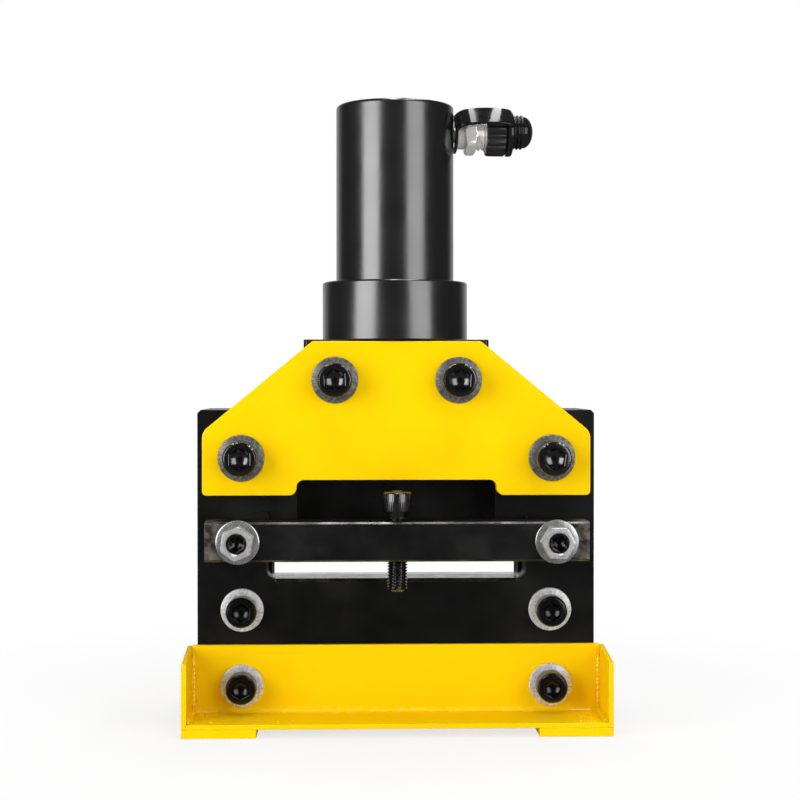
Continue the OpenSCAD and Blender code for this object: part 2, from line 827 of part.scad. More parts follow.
module yoke_plate(y_back) {
  color(yellow) upright(y_back, yoke_t) difference() {
    yoke_outline();
    hole_pair(screw_x, yoke_screw_z, yoke_screw_d + hole_extra);
    hole_pair(head_screw_x, head_screw_z, yoke_screw_d + hole_extra);
  }
}

module front_yoke_plate() {
  yoke_plate(-face);
}

module rear_yoke_plate() {
  yoke_plate(yoke_face);
}

module yoke_screws() {
  rows = [[screw_x, yoke_screw_z, yoke_screw_len], [head_screw_x, head_screw_z, head_screw_len]];
  color(dark_steel)
    for (row = rows, sx = sides, sy = sides) facing(sx * row[0], sy * yoke_seat, row[1], sy)
      socket_screw(yoke_screw_d, row[2], yoke_head_d, yoke_head_h, yoke_socket_af);
}

module yoke_washers() {
  rows = [[screw_x, yoke_screw_z], [head_screw_x, head_screw_z]];
  color(zinc)
    for (row = rows, sx = sides, sy = sides) facing(sx * row[0], sy * yoke_face, row[1], sy)
      washer(yoke_washer_d, yoke_screw_d + hole_extra, yoke_washer_t);
}

// Head block and cylinder

module head_block() {
  w = head_w / 2;
  c = head_chamfer;
  tap_len = head_screw_len - yoke_t - yoke_washer_t + tap_extra;
  color(black_steel) difference() {
    translate([0, 0, head_low]) linear_extrude(head_h)
      polygon([[c - w, -face], [w - c, -face], [w, c - face], [w, face - c],
               [w - c, face], [c - w, face], [-w, face - c], [-w, c - face]]);
    translate([0, 0, gland_low]) cylinder(d = spigot_d + 2 * seat_gap, h = head_top - gland_low + eps);
    translate([0, 0, head_low - eps]) cylinder(d = rod_hole_d, h = head_seat_t + 2 * eps);
    translate([0, 0, head_low - eps]) cylinder(d = wiper_d + 2 * seat_gap, h = wiper_h + eps);
    for (sx = sides, sy = sides) facing(sx * head_screw_x, sy * (face - tap_len), head_screw_z, sy)
      cylinder(d = yoke_screw_d + 2 * seat_gap, h = tap_len + eps);
  }
}

module cylinder_collar() {
  r = collar_d / 2;
  c = collar_chamfer;
  bore_r = barrel_d / 2 + seat_gap;
  color(black_steel) translate([0, 0, head_top]) rotate_extrude()
    polygon([[bore_r, 0], [r - c, 0], [r, c], [r, collar_h - c], [r - c, collar_h], [bore_r, collar_h]]);
}

module barrel_profile() {
  r = barrel_d / 2;
  rim = barrel_rim_r;
  square_top = [[0, spigot_low], [spigot_d / 2, spigot_low], [spigot_d / 2, head_top],
                [r, head_top], [r, barrel_top - rim]];
  rim_arc = [for (a = [15 : 15 : 90]) [r - rim + rim * cos(a), barrel_top - rim + rim * sin(a)]];
  polygon(concat(square_top, rim_arc, [[0, barrel_top]]));
}

module cylinder_barrel() {
  tap_end = 0.2;
  well_d = port_d + 2;
  color(black_steel) difference() {
    rotate_extrude() barrel_profile();
    translate([0, 0, spigot_low - eps]) cylinder(d = bore_d, h = bore_top - spigot_low + eps);
    on_coupler(shank_s - tap_end) cylinder(d = shank_d + 2 * seat_gap, h = shank_len + tap_end + 1);
    on_coupler(0) cylinder(d = port_d, h = shank_s);
    translate([0, 0, bore_top - eps]) cylinder(d = well_d, h = coupler_z - bore_top + well_d / 2 + eps);
  }
}

module gland_bush() {
  rod_r = rod_d / 2 + run_gap;
  flange_r = spigot_d / 2;
  sleeve_r = bore_d / 2 - seat_gap;
  groove_r = groove_floor_d / 2;
  color([0.7, 0.55, 0.3]) rotate_extrude() polygon([
    [rod_r, gland_low], [flange_r, gland_low], [flange_r, spigot_low], [sleeve_r, spigot_low],
    [sleeve_r, oring_z - groove_w / 2], [groove_r, oring_z - groove_w / 2],
    [groove_r, oring_z + groove_w / 2], [sleeve_r, oring_z + groove_w / 2],
    [sleeve_r, gland_top], [rod_r, gland_top]]);
}

module gland_oring() {
  mean_r = (groove_floor_d / 2 + bore_d / 2) / 2;
  section_d = bore_d / 2 - groove_floor_d / 2 - 2 * seat_gap;
  color(rubber_black) translate([0, 0, oring_z]) rotate_extrude()
    translate([mean_r, 0]) circle(d = section_d);
}

module rod_wiper() {
  rod_r = rod_d / 2 + run_gap;
  outer_r = wiper_d / 2;
  lip = 2;
  color(seal_blue) translate([0, 0, head_low]) rotate_extrude() polygon([
    [rod_r, 0], [rod_r + 1, 0], [rod_r + lip, lip], [outer_r, lip], [outer_r, wiper_h],
    [rod_r + lip, wiper_h], [rod_r + lip, lip * 2], [rod_r, lip]]);
}

// Piston, rod and return spring, which move with the ram

module ring_at(z, outer_r, inner_r, h) {
  translate([0, 0, z]) rotate_extrude()
    translate([inner_r, 0]) square([outer_r - inner_r, h]);
}

module piston() {
  r = piston_d / 2;
  color(bare_steel) difference() {
    translate([0, 0, piston_low]) cylinder(r = r, h = piston_h);
    ring_at(seal_z, r + eps, r - seal_depth, seal_h);
    ring_at(guide_ring_z, r + eps, r - guide_ring_t, guide_ring_h);
    translate([0, 0, recess_low]) cylinder(d = nut_recess_d, h = nut_recess_h + eps);
    translate([0, 0, piston_low - eps]) cylinder(d = rod_neck_d + 2 * seat_gap, h = piston_h);
  }
}

module piston_seal() {
  r = piston_d / 2;
  color(seal_blue) ring_at(seal_z, r, r - seal_depth, seal_h);
}

module piston_guide_ring() {
  r = piston_d / 2;
  color([0.75, 0.72, 0.6]) ring_at(guide_ring_z, r, r - guide_ring_t, guide_ring_h);
}

module piston_rod() {
  color(bright_steel) difference() {
    union() {
      translate([0, 0, ram_top]) cylinder(d = rod_d, h = piston_low - ram_top);
      translate([0, 0, piston_low - eps]) cylinder(d = rod_neck_d, h = neck_top - piston_low + eps);
      translate([0, 0, ram_top - rod_tail_len]) cylinder(d = rod_tail_d, h = rod_tail_len + eps);
    }
    facing(0, -core, pin_z, 1) cylinder(d = pin_d + 2 * seat_gap, h = layer_t);
  }
}

module piston_nut() {
  color(zinc) translate([0, 0, recess_low])
    hex_nut(piston_nut_af, piston_nut_h, rod_neck_d + 2 * seat_gap);
}

module rod_cross_pin() {
  color(bare_steel) facing(0, -slide_back, pin_z, 1) cylinder(d = pin_d, h = 2 * slide_back);
}

module return_spring() {
  seat = 0.1;
  color(bare_steel) translate([0, 0, gland_top + seat])
    coil_spring(spring_d, wire_d, piston_low - gland_top - 2 * seat, spring_turns, 12);
}

module ram() {
  color(dark_steel) difference() {
    union() {
      translate([-slide_half, -slide_back, blade_top]) cube([2 * slide_half, 2 * slide_back, ram_h]);
      translate([-slide_half, -slide_back, tongue_z])
        cube([2 * slide_half, slide_back + shear_gap / 2, tongue_lap + eps]);
    }
    translate([0, 0, ram_top - rod_tail_len]) cylinder(d = rod_tail_d + 2 * seat_gap, h = rod_tail_len + eps);
    facing(0, -core, pin_z, 1) cylinder(d = pin_d + 2 * seat_gap, h = layer_t);
    for (x = blade_screw_x) facing(x, blind_wall - slide_back, blade_screw_z, 1)
      cylinder(d = blade_screw_d + 2 * seat_gap, h = slide_back - blind_wall + eps);
  }
}

module moving_blade() {
  bevel_len = channel_w * 1.1;
  color(bare_steel) difference() {
    upright(slide_back, slide_back - shear_gap / 2)
      polygon([[-slide_half, rest_edge], [slide_half, rest_edge + edge_rise],
               [slide_half, blade_top], [-slide_half, blade_top]]);
    translate([0, slide_back, rest_edge + edge_rise / 2]) rotate([0, -rake, 0])
      translate([-bevel_len / 2, 0, 0]) rotate([90, 0, 90]) linear_extrude(bevel_len)
        polygon([[-bevel_t, -edge_rise], [-bevel_t, 0], [eps, bevel_h * (1 + eps / bevel_t)],
                 [eps, -edge_rise]]);
    for (x = blade_screw_x) facing(x, slide_back + eps, blade_screw_z, -1) {
      cylinder(d = blade_screw_d + 2 * seat_gap, h = slide_back + 2 * eps);
      cylinder(d = blade_head_d + 2 * hole_extra, h = blade_head_h + eps);
    }
  }
}

module moving_blade_screws() {
  color(dark_steel)
    for (x = blade_screw_x) facing(x, slide_back - blade_head_h, blade_screw_z, 1)
      socket_screw(blade_screw_d, 2 * slide_back - blade_head_h - 2 * blind_wall,
                   blade_head_d, blade_head_h - head_sink, blade_socket_af);
}

// Hold-down bar with its studs, nuts and screw

module hold_down_bar() {
  c = bar_chamfer;
  color(dark_steel) difference() {
    translate([-bar_len / 2, 0, 0]) rotate([90, 0, 90]) linear_extrude(bar_len)
      polygon([[-bar_back, bar_z], [-bar_back, bar_top], [c - bar_front, bar_top], [-bar_front, bar_top - c],
               [-bar_front, bar_z + c], [c - bar_front, bar_z]]);
    for (sx = sides) facing(sx * stud_x, eps - bar_back, stud_z, -1)
      cylinder(d = stud_d + hole_extra, h = bar_depth + 2 * eps);
    translate([0, hold_y, bar_z - eps]) cylinder(d = hold_d + 2 * run_gap, h = bar_h + 2 * eps);
  }
}

module bar_spacers() {
  color(dark_steel)
    for (place = spacer_places) upright(-face, spacer_t) translate([place[0] * stud_x, stud_z]) difference() {
      translate([place[0] * place[2], 0]) rotate(place[1]) square([spacer_w, spacer_h], center = true);
      circle(d = stud_d + hole_extra);
    }
}

module bar_studs() {
  r = stud_d / 2;
  c = thread_chamfer;
  depth = stud_socket_af;
  color(dark_steel)
    for (sx = sides) facing(sx * stud_x, stud_foot, stud_z, -1) difference() {
      rotate_extrude() polygon([
        [0, 0], [r - c, 0], [r, c], [r, stud_len - c], [r - c, stud_len], [0, stud_len]]);
      translate([0, 0, stud_len - depth]) hex_prism(stud_socket_af, depth + eps);
    }
}

module bar_flange_nuts() {
  hex_r = flange_nut_af / cos(30) / 2;
  color(zinc)
    for (sx = sides) facing(sx * stud_x, -bar_front, stud_z, -1) difference() {
      union() {
        rotate_extrude() polygon([
          [0, 0], [flange_d / 2, 0], [flange_d / 2, flange_h * 0.4], [hex_r * 0.98, flange_h], [0, flange_h]]);
        turned_hex(flange_nut_af, flange_nut_h);
      }
      translate([0, 0, -eps]) cylinder(d = stud_d + 2 * seat_gap, h = flange_nut_h + 2 * eps);
    }
}

module hold_down_screw() {
  color(dark_steel) translate([0, hold_y, hold_head_z])
    socket_screw(hold_d, hold_len, hold_head_d, hold_head_h, hold_socket_af);
}

// Coupler: nipple with its poppet valve, dust cap and the cap's strap

module coupler_nipple() {
  color(bright_steel) on_coupler(0) difference() {
    union() {
      translate([0, 0, shank_s]) cylinder(d = shank_d, h = hex_s - shank_s + eps);
      translate([0, 0, shoulder_s]) cylinder(d = shoulder_d, h = shoulder_len + eps);
      translate([0, 0, hex_s]) turned_hex(coupler_af, coupler_hex_len);
      translate([0, 0, neck_s - eps]) cylinder(d = neck_d, h = neck_len + eps);
      translate([0, 0, nose_s - eps]) cylinder(d = nose_d, h = nose_len + eps);
    }
    rotate_extrude() polygon([
      [0, shank_s - eps], [nipple_bore / 2, shank_s - eps], [nipple_bore / 2, seat_s],
      [mouth_d / 2, seat_s + seat_len], [mouth_d / 2, tip_s + eps], [0, tip_s + eps]]);
  }
}

module coupler_poppet() {
  r = nipple_bore / 2 - poppet_gap;
  pin_r = mouth_d / 2 - poppet_gap;
  color(bare_steel) on_coupler(0) rotate_extrude() polygon([
    [0, retainer_s + 0.5], [stem_d / 2, retainer_s + 0.5], [stem_d / 2, poppet_back_s], [r, poppet_back_s],
    [r, poppet_front_s], [pin_r, poppet_front_s + r - pin_r], [pin_r, tip_s - 0.5], [0, tip_s - 0.5]]);
}

module poppet_spring() {
  mean_d = (nipple_bore + stem_d) / 2;
  space = poppet_back_s - stem_s - poppet_travel - 2 * poppet_gap;
  color(bare_steel) on_coupler(poppet_back_s - space - 0.05)
    coil_spring(mean_d, poppet_wire_d, space, poppet_spring_turns, 8);
}

module poppet_retainer() {
  color(bare_steel) on_coupler(retainer_s)
    washer(nipple_bore - 2 * seat_gap, stem_d + 2 * poppet_gap, retainer_t);
}

// Knob on the strap's second end, with ridges and a domed tip; it stands on z = 0
module knob() {
  r = knob_d / 2;
  dome = knob_len * 0.4;
  steps = 8 * knob_ridges;
  rotate_extrude() polygon(concat(
    [[0, -eps], [r - ridge_depth, -eps]],
    [for (i = [0 : steps]) let (t = i / steps)
      [r - ridge_depth * (0.5 + 0.5 * cos(360 * knob_ridges * t)), t * (knob_len - dome)]],
    [for (a = [0 : 15 : 75]) [(r - ridge_depth) * cos(a), knob_len - dome + dome * sin(a)]],
    [[0, knob_len]]));
}

module dust_cap() {
  core_d = cap_d - 2 * rib_depth;
  color(rubber_black) on_coupler(0) difference() {
    union() {
      translate([0, 0, cap_s]) cylinder(d = core_d, h = cap_len);
      for (i = [0 : cap_ribs - 1]) rotate([0, 0, 360 * i / cap_ribs])
        translate([core_d / 2 - 1, -rib_w / 2, cap_s]) cube([rib_depth + 1, rib_w, cap_len]);
      translate([0, 0, stub_s - eps]) cylinder(d = stub_d, h = stub_len + eps);
    }
    rotate_extrude() polygon([
      [0, cap_s - eps], [neck_d / 2 + cap_gap, cap_s - eps], [neck_d / 2 + cap_gap, nose_s + cap_gap],
      [nose_d / 2 + cap_gap, nose_s + cap_gap], [nose_d / 2 + cap_gap, tip_s + cap_gap], [0, tip_s + cap_gap]]);
  }
}

module strap_band() {
  half = strap_span / 2;
  rotate([0, 0, strap_side]) translate([strap_reach, 0, (strap_start_s + strap_end_s) / 2])
    rotate([90, 0, 0]) translate([0, 0, -strap_w / 2]) linear_extrude(strap_w) intersection() {
      translate([strap_bow - strap_r, 0]) difference() {
        circle(r = strap_r + strap_t / 2, $fn = 160);
        circle(r = strap_r - strap_t / 2, $fn = 160);
      }
      translate([-strap_t, -half]) square([strap_bow + 3 * strap_t, strap_span]);
    }
}

module strap_tab(s, t) {
  rotate([0, 0, strap_side]) translate([shank_d / 2 + strap_t, -strap_w / 2, s])
    cube([strap_reach + strap_t / 2 - shank_d / 2 - strap_t, strap_w, t]);
}

module cap_strap() {
  end_t = strap_end_t - strap_gap;
  color(rubber_black) on_coupler(0) difference() {
    union() {
      translate([0, 0, ring_s]) cylinder(d = ring_d, h = ring_t);
      translate([-knob_rise / 2, 0, stub_s + strap_gap]) cylinder(d = strap_end_d, h = end_t);
      translate([-knob_rise, 0, knob_s]) knob();
      strap_band();
      strap_tab(ring_s, ring_t);
      strap_tab(stub_s + strap_gap, end_t);
    }
    translate([0, 0, ring_s - eps]) cylinder(d = shank_d + 2 * strap_gap, h = ring_t + 2 * eps);
    translate([0, 0, stub_s]) cylinder(d = stub_d + 2 * strap_gap, h = stub_len + strap_gap);
  }
}

front_base_tray();
rear_base_tray();
base_end_plates();
foot_pads();
front_body_plate();
rear_body_plate();
left_guide_bar();
right_guide_bar();
lower_spacer();
fixed_blade();
fixed_blade_screws();
body_screws();
base_screws();
stack_washers();
stack_nuts();
front_yoke_plate();
rear_yoke_plate();
yoke_screws();
yoke_washers();
head_block();
cylinder_collar();
cylinder_barrel();
gland_bush();
gland_oring();
rod_wiper();
piston();
piston_seal();
piston_guide_ring();
piston_rod();
piston_nut();
rod_cross_pin();
return_spring();
ram();
moving_blade();
moving_blade_screws();
hold_down_bar();
bar_spacers();
bar_studs();
bar_flange_nuts();
hold_down_screw();
coupler_nipple();
coupler_poppet();
poppet_spring();
poppet_retainer();
dust_cap();
cap_strap();
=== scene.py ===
# %% [markdown]
# # A hydraulic busbar cutter
# The cutter is a stack of black plates on a yellow base, with a cylinder on top that pushes a blade
# down between the plates. Its solids come ready made from the frame, in metres, with Z up and the
# front at -Y. Here each visible piece gets the edges, threads, welds and finishes of the real one.

# %% Load the frame
import json
import math
import random

import bmesh
import bpy
from mathutils import Matrix, Vector


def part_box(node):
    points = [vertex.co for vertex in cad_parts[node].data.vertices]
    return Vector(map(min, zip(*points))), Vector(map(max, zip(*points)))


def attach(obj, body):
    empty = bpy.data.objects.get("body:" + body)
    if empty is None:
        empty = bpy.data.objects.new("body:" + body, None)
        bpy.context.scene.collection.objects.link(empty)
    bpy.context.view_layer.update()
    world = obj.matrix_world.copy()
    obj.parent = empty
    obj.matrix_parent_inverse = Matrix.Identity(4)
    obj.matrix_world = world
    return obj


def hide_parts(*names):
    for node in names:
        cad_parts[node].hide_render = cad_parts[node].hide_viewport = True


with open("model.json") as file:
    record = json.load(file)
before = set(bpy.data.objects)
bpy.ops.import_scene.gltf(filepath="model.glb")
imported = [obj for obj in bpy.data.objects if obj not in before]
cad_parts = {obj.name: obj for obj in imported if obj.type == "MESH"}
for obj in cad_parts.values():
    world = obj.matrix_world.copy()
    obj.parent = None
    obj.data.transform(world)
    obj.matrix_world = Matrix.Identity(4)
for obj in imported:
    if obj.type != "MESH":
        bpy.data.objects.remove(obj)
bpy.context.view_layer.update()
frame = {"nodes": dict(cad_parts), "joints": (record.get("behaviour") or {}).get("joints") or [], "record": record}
scene = bpy.context.scene
MM = 0.001
random.seed(11)
print("solids in the frame:", len(frame["nodes"]))

# %% [markdown]
# ## Sizes from the frame
# A new piece has to sit exactly where its solid sits. Its place could be copied as a number, but then
# it would stay behind if the solid changed. These two helpers ask the solid for its lowest, highest
# and middle place along an axis, in millimetres, rounded to a hundredth.

# %% Helpers for places
def span(node, axis):
    """Lowest and highest place of a solid along x, y or z, in millimetres."""
    low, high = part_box(node)
    k = "xyz".index(axis)
    return round(low[k] / MM, 2), round(high[k] / MM, 2)


def middle(node, axis):
    """Middle of a solid along x, y or z, in millimetres."""
    return round(sum(span(node, axis)) / 2, 2)


print("the cutter's body is", span("front_body_plate", "x")[1] * 2, "mm wide")

# %% [markdown]
# ## The camera
# The photograph was taken from about a metre in front of the cutter, a little to the left of its middle
# and at the height of its yoke plate. A long lens keeps the plates almost square to the picture. A camera
# can be aimed by hand, but two small angles, one to the right and one down, repeat the view exactly.

# %% Camera
lens = bpy.data.cameras.new("photo_camera")
lens.lens = 74.5
lens.sensor_width = 36
turned_right, turned_down = 1.73, 0.69
camera = bpy.data.objects.new("photo_camera", lens)
camera.location = (-0.028, -1.033, 0.208)
camera.rotation_euler = (math.radians(90 - turned_down), 0, math.radians(-turned_right))
scene.collection.objects.link(camera)
scene.camera = camera
print("camera stands at", [round(v, 3) for v in camera.location])

# %% [markdown]
# ## Nodes in few words
# Every finish below is a small net of shader nodes. Placing each node by hand takes many lines, so one
# helper adds a node, sets its options, and fills or links its sockets by their names. A socket that
# shares its name with another is called by its number, such as i0.

# %% Helper for shader nodes
def add(tree, kind, options=None, **sockets):
    """Adds a node; a socket gets a link where its value is another socket, and else the value."""
    node = tree.nodes.new("ShaderNode" + kind)
    for key, value in (options or {}).items():
        setattr(node, key, value)
    for key, value in sockets.items():
        numbered = key[0] == "i" and key[1:].isdigit()
        socket = node.inputs[int(key[1:])] if numbered else node.inputs[key]
        if isinstance(value, bpy.types.NodeSocket):
            tree.links.new(value, socket)
        else:
            socket.default_value = value
    return node


print("nodes can be added by their kind")

# %% [markdown]
# ## Colours, noise and ranges
# Three kinds of node come back in nearly every finish: a ramp that turns a number into a colour, a
# noise that gives such a number at each point, and a range that stretches it to useful values. Each
# gets a helper that returns its output, so they can be nested like ordinary functions.

# %% Helpers for ramps, noise and ranges
def ramp(tree, factor, stops):
    """A colour for each value of factor; stops are (place, colour) pairs."""
    node = add(tree, "ValToRGB", Fac=factor)
    while len(node.color_ramp.elements) < len(stops):
        node.color_ramp.elements.new(0.5)
    for element, (place_on_ramp, colour) in zip(node.color_ramp.elements, stops):
        element.position = place_on_ramp
        element.color = (*colour, 1)
    return node.outputs["Color"]


def noise(tree, where, scale, detail=4.0, rough=0.55):
    """A cloudy number between 0 and 1 at each point."""
    return add(tree, "TexNoise", Vector=where, Scale=scale, Detail=detail, Roughness=rough).outputs["Fac"]


def between(tree, factor, low, high, start=0.3, end=0.7):
    """Goes from low to high as the factor goes from start to end."""
    node = add(tree, "MapRange", Value=factor)
    node.inputs["From Min"].default_value = start
    node.inputs["From Max"].default_value = end
    node.inputs["To Min"].default_value = low
    node.inputs["To Max"].default_value = high
    return node.outputs["Result"]


def math_node(tree, operation, first, second):
    """One sum, product or choice of two numbers."""
    return add(tree, "Math", {"operation": operation}, i0=first, i1=second).outputs[0]


print("ramps, noise and ranges are ready")

# %% [markdown]
# ## The white room
# The photograph's background is plain white. A real backdrop would need much light of its own, so the
# world is white to the camera in every direction instead. Shiny parts see that white only behind the
# cutter, as if the room behind the camera were dark: that keeps the black faces black.

# %% World
world = bpy.data.worlds.new("studio")
scene.world = world
world.use_nodes = True
tree = world.node_tree
tree.nodes.clear()
ray = add(tree, "LightPath")
direction = add(tree, "TexCoord").outputs["Generated"]
to_the_back = add(tree, "SeparateXYZ", Vector=direction).outputs["Y"]
white_starts, white_full, white_in_shine = 0.6, 0.97, 0.9
behind = between(tree, to_the_back, 0.0, white_in_shine, start=white_starts, end=white_full)
shiny = math_node(tree, "MAXIMUM", ray.outputs["Is Glossy Ray"], ray.outputs["Is Transmission Ray"])
seen = math_node(tree, "MULTIPLY", shiny, behind)
white = math_node(tree, "MAXIMUM", ray.outputs["Is Camera Ray"], seen)
fill, fill_in_shine = 0.19, 0.06
room = between(tree, shiny, fill, fill_in_shine, start=0.0, end=1.0)
strength = math_node(tree, "MAXIMUM", white, room)
backdrop = add(tree, "Background", Color=(1, 1, 1, 1), Strength=strength)
add(tree, "OutputWorld", Surface=backdrop.outputs[0])
scene.view_settings.view_transform = "Standard"
print("world fill light:", fill)

# %% [markdown]
# ## The lamps
# A tall soft light stands to the left and another to the right, both well in front. They draw the upright
# streaks on the cylinder and light the yellow paint evenly. Two narrow strips hang overhead: they whiten
# the edges that face up and give the strap its two bright patches, where one wide light makes it grey.

# %% Lamps
def softbox(name, place, aim, width, height, power):
    """A soft rectangular lamp at a place, turned to look at a point."""
    lamp = bpy.data.lights.new(name, "AREA")
    lamp.shape = "RECTANGLE"
    lamp.size = width
    lamp.size_y = height
    lamp.energy = power
    box = bpy.data.objects.new(name, lamp)
    box.location = place
    box.rotation_euler = (Vector(aim) - Vector(place)).to_track_quat("-Z", "Y").to_euler()
    scene.collection.objects.link(box)
    print(name, "gives", power, "W")


side_size = (0.84, 1.5)
softbox("left_softbox", (-1.06, -0.92, 0.28), (0, 0, 0.15), *side_size, 18.1)
softbox("right_softbox", (0.88, -1.09, 0.28), (0, 0, 0.15), *side_size, 11.7)
softbox("top_left_strip", (-0.02, 0.06, 1.3), (-0.02, 0.06, 0.1), 0.13, 1.4, 6)
softbox("top_right_strip", (0.28, 0.06, 1.3), (0.28, 0.06, 0.1), 0.09, 1.4, 5)

# %% [markdown]
# ## The floor
# The floor is a white sheet. To the camera it glows almost white by itself, and a small share of real
# light is left in, so the cutter still has a soft shadow under it. Away from the cutter the glow takes
# over, and no horizon shows. Shiny faces see a dark sheet, or else the screw heads would turn grey.

# %% Floor
own_tone, tone_in_shine = 0.92, 0.1
glow_near, glow_far = 0.74, 1.0
near, far = 0.14, 0.42
half_width, below_feet = 6, 0.0004
sheet = bpy.data.materials.new("white_floor")
sheet.use_nodes = True
tree = sheet.node_tree
tree.nodes.clear()
ray = add(tree, "LightPath")
tone = between(tree, ray.outputs["Is Glossy Ray"], own_tone, tone_in_shine, start=0.0, end=1.0)
flat = add(tree, "BsdfDiffuse", Color=tone)
glow = add(tree, "Emission", Color=(1, 1, 1, 1), Strength=1.0)
here = add(tree, "TexCoord").outputs["Object"]
away = add(tree, "VectorMath", {"operation": "LENGTH"}, i0=here).outputs["Value"]
share = between(tree, away, glow_near, glow_far, start=near, end=far)
to_eye = math_node(tree, "MULTIPLY", share, ray.outputs["Is Camera Ray"])
mixed = add(tree, "MixShader", Fac=to_eye, i1=flat.outputs[0], i2=glow.outputs[0])
add(tree, "OutputMaterial", Surface=mixed.outputs[0])
mesh = bpy.data.meshes.new("floor")
corners = [(x * half_width, y * half_width, 0) for x, y in ((-1, -1), (1, -1), (1, 1), (-1, 1))]
mesh.from_pydata(corners, [], [(0, 1, 2, 3)])
mesh.materials.append(sheet)
floor = bpy.data.objects.new("floor", mesh)
floor.location.z = -below_feet
scene.collection.objects.link(floor)
print("floor is", 2 * half_width, "m wide")

# %% [markdown]
# ## A general finish
# Paint, oxide, plating and plastic differ in colour, gloss and grain, but all of them vary a little
# over the surface. A flat colour looks like a drawing. This helper lets one noise shift the colour,
# another the roughness, and a third raise a fine bump, each at the scale of the real finish.


def finish(name, tones, patch, rough, metal=0.0, grain=(900, 0.05), stretch=(1, 1, 1), coat=0.0,
           shine=0.5, ior=1.5):
    """A material: tones in patches, a range of roughness, and a grain of some scale and strength."""
    material = bpy.data.materials.new(name)
    material.use_nodes = True
    tree = material.node_tree
    shader = tree.nodes["Principled BSDF"]
    here = add(tree, "TexCoord").outputs["Object"]
    drawn = add(tree, "Mapping", Vector=here, Scale=stretch).outputs["Vector"]
    first_stop, spread = 0.3, 0.4
    finer = 2.7
    grain_scale, grain_strength = grain
    stops = [(first_stop + spread * k / (len(tones) - 1), tone) for k, tone in enumerate(tones)]
    colour = ramp(tree, noise(tree, drawn, patch), stops)
    tree.links.new(colour, shader.inputs["Base Color"])
    gloss = between(tree, noise(tree, drawn, patch * finer, detail=6), *rough)
    tree.links.new(gloss, shader.inputs["Roughness"])
    bump = add(tree, "Bump", Strength=grain_strength, Distance=0.4 * MM,
               Height=noise(tree, drawn, grain_scale, detail=3))
    tree.links.new(bump.outputs["Normal"], shader.inputs["Normal"])
    shader.inputs["Metallic"].default_value = metal
    shader.inputs["Coat Weight"].default_value = coat
    shader.inputs["Specular IOR Level"].default_value = shine
    shader.inputs["IOR"].default_value = ior
    material.diffuse_color = (*tones[0], 1)
    return material


def parts_of(material):
    """The tree, the shader and the coordinates of a finish, to add more to it."""
    tree = material.node_tree
    shader = tree.nodes["Principled BSDF"]
    here = next(n for n in tree.nodes if n.type == "TEX_COORD").outputs["Object"]
    return tree, shader, here


def add_bump(material, height, strength, distance):
    """Lays one more bump over the bumps that a finish has."""
    tree, shader, _ = parts_of(material)
    below = shader.inputs["Normal"].links[0].from_socket
    bump = add(tree, "Bump", Strength=strength, Distance=distance, Height=height, Normal=below)
    tree.links.new(bump.outputs["Normal"], shader.inputs["Normal"])


# %% [markdown]
# ## Yellow paint
# The yoke plates and the base are sprayed with a warm yellow enamel. It is thick enough to round the
# edges and leaves a faint orange peel. The edges get a glossier paint of a lighter yellow, a painted
# highlight for the light that edges catch, and the welds get a deeper orange-yellow. One finish could be
# masked three ways, but three finishes are easier to tune one by one.

# %% Yellow paint
enamel_peel = (420, 0.07)
yellow = finish("warm yellow enamel",
                [(0.96, 0.6, 0.0), (1.0, 0.65, 0.0), (0.99, 0.625, 0.0)],
                9, (0.42, 0.52), grain=enamel_peel, shine=0.05)
# Edge paint is a lighter yellow than the flat paint: a painted highlight.
yellow_edge_painted_highlight = finish("yellow enamel edges, painted lighter", [(0.98, 0.63, 0.0), (1.0, 0.69, 0.004)],
                     60, (0.2, 0.32), grain=enamel_peel, shine=0.4)
# Welds get a deeper orange-yellow tone than the flat paint.
weld_yellow = finish("deeper yellow enamel on welds", [(0.93, 0.55, 0.0), (1.0, 0.62, 0.0)],
                     60, (0.05, 0.12), grain=(420, 0.05), shine=0.8, coat=0.8)
print("yellow paint is ready")

# %% [markdown]
# ## Blackened plates
# The body plates are ground flat and then blackened. The oxide is satin, with cloudy patches and faint
# grinding marks, and on the edges it is rubbed off to grey. The marks could be painted as an image,
# but a noise that is stretched along one direction gives them at any distance.

# %% Blackened plates
black = finish("blackened steel plate",
               [(0.0009, 0.0009, 0.001), (0.0042, 0.0042, 0.0043), (0.014, 0.0137, 0.0133)],
               22, (0.3, 0.42), grain=(1500, 0.03), shine=0.26)
tree, _, here = parts_of(black)
marks_along, marks_across = 14, 900
drawn_out = (marks_along, marks_across, marks_across)
grinding = add(tree, "Mapping", Vector=here, Scale=drawn_out).outputs["Vector"]
add_bump(black, noise(tree, grinding, scale=1, detail=2), strength=0.025, distance=0.3 * MM)
black_edge = finish("rubbed black edge",
                    [(0.02, 0.02, 0.02), (0.06, 0.058, 0.056), (0.14, 0.135, 0.13)],
                    70, (0.18, 0.3), metal=0.7)
print("blackened plates are ready")

# %% [markdown]
# ## The handled bar
# The hold-down bar is blackened too, but its ends are gripped whenever it comes off, and bare steel
# shows there in clouds. Painting the ends as pieces of their own would leave a hard line. A second
# colour is mixed in instead, where the distance from the middle and a noise both say so.

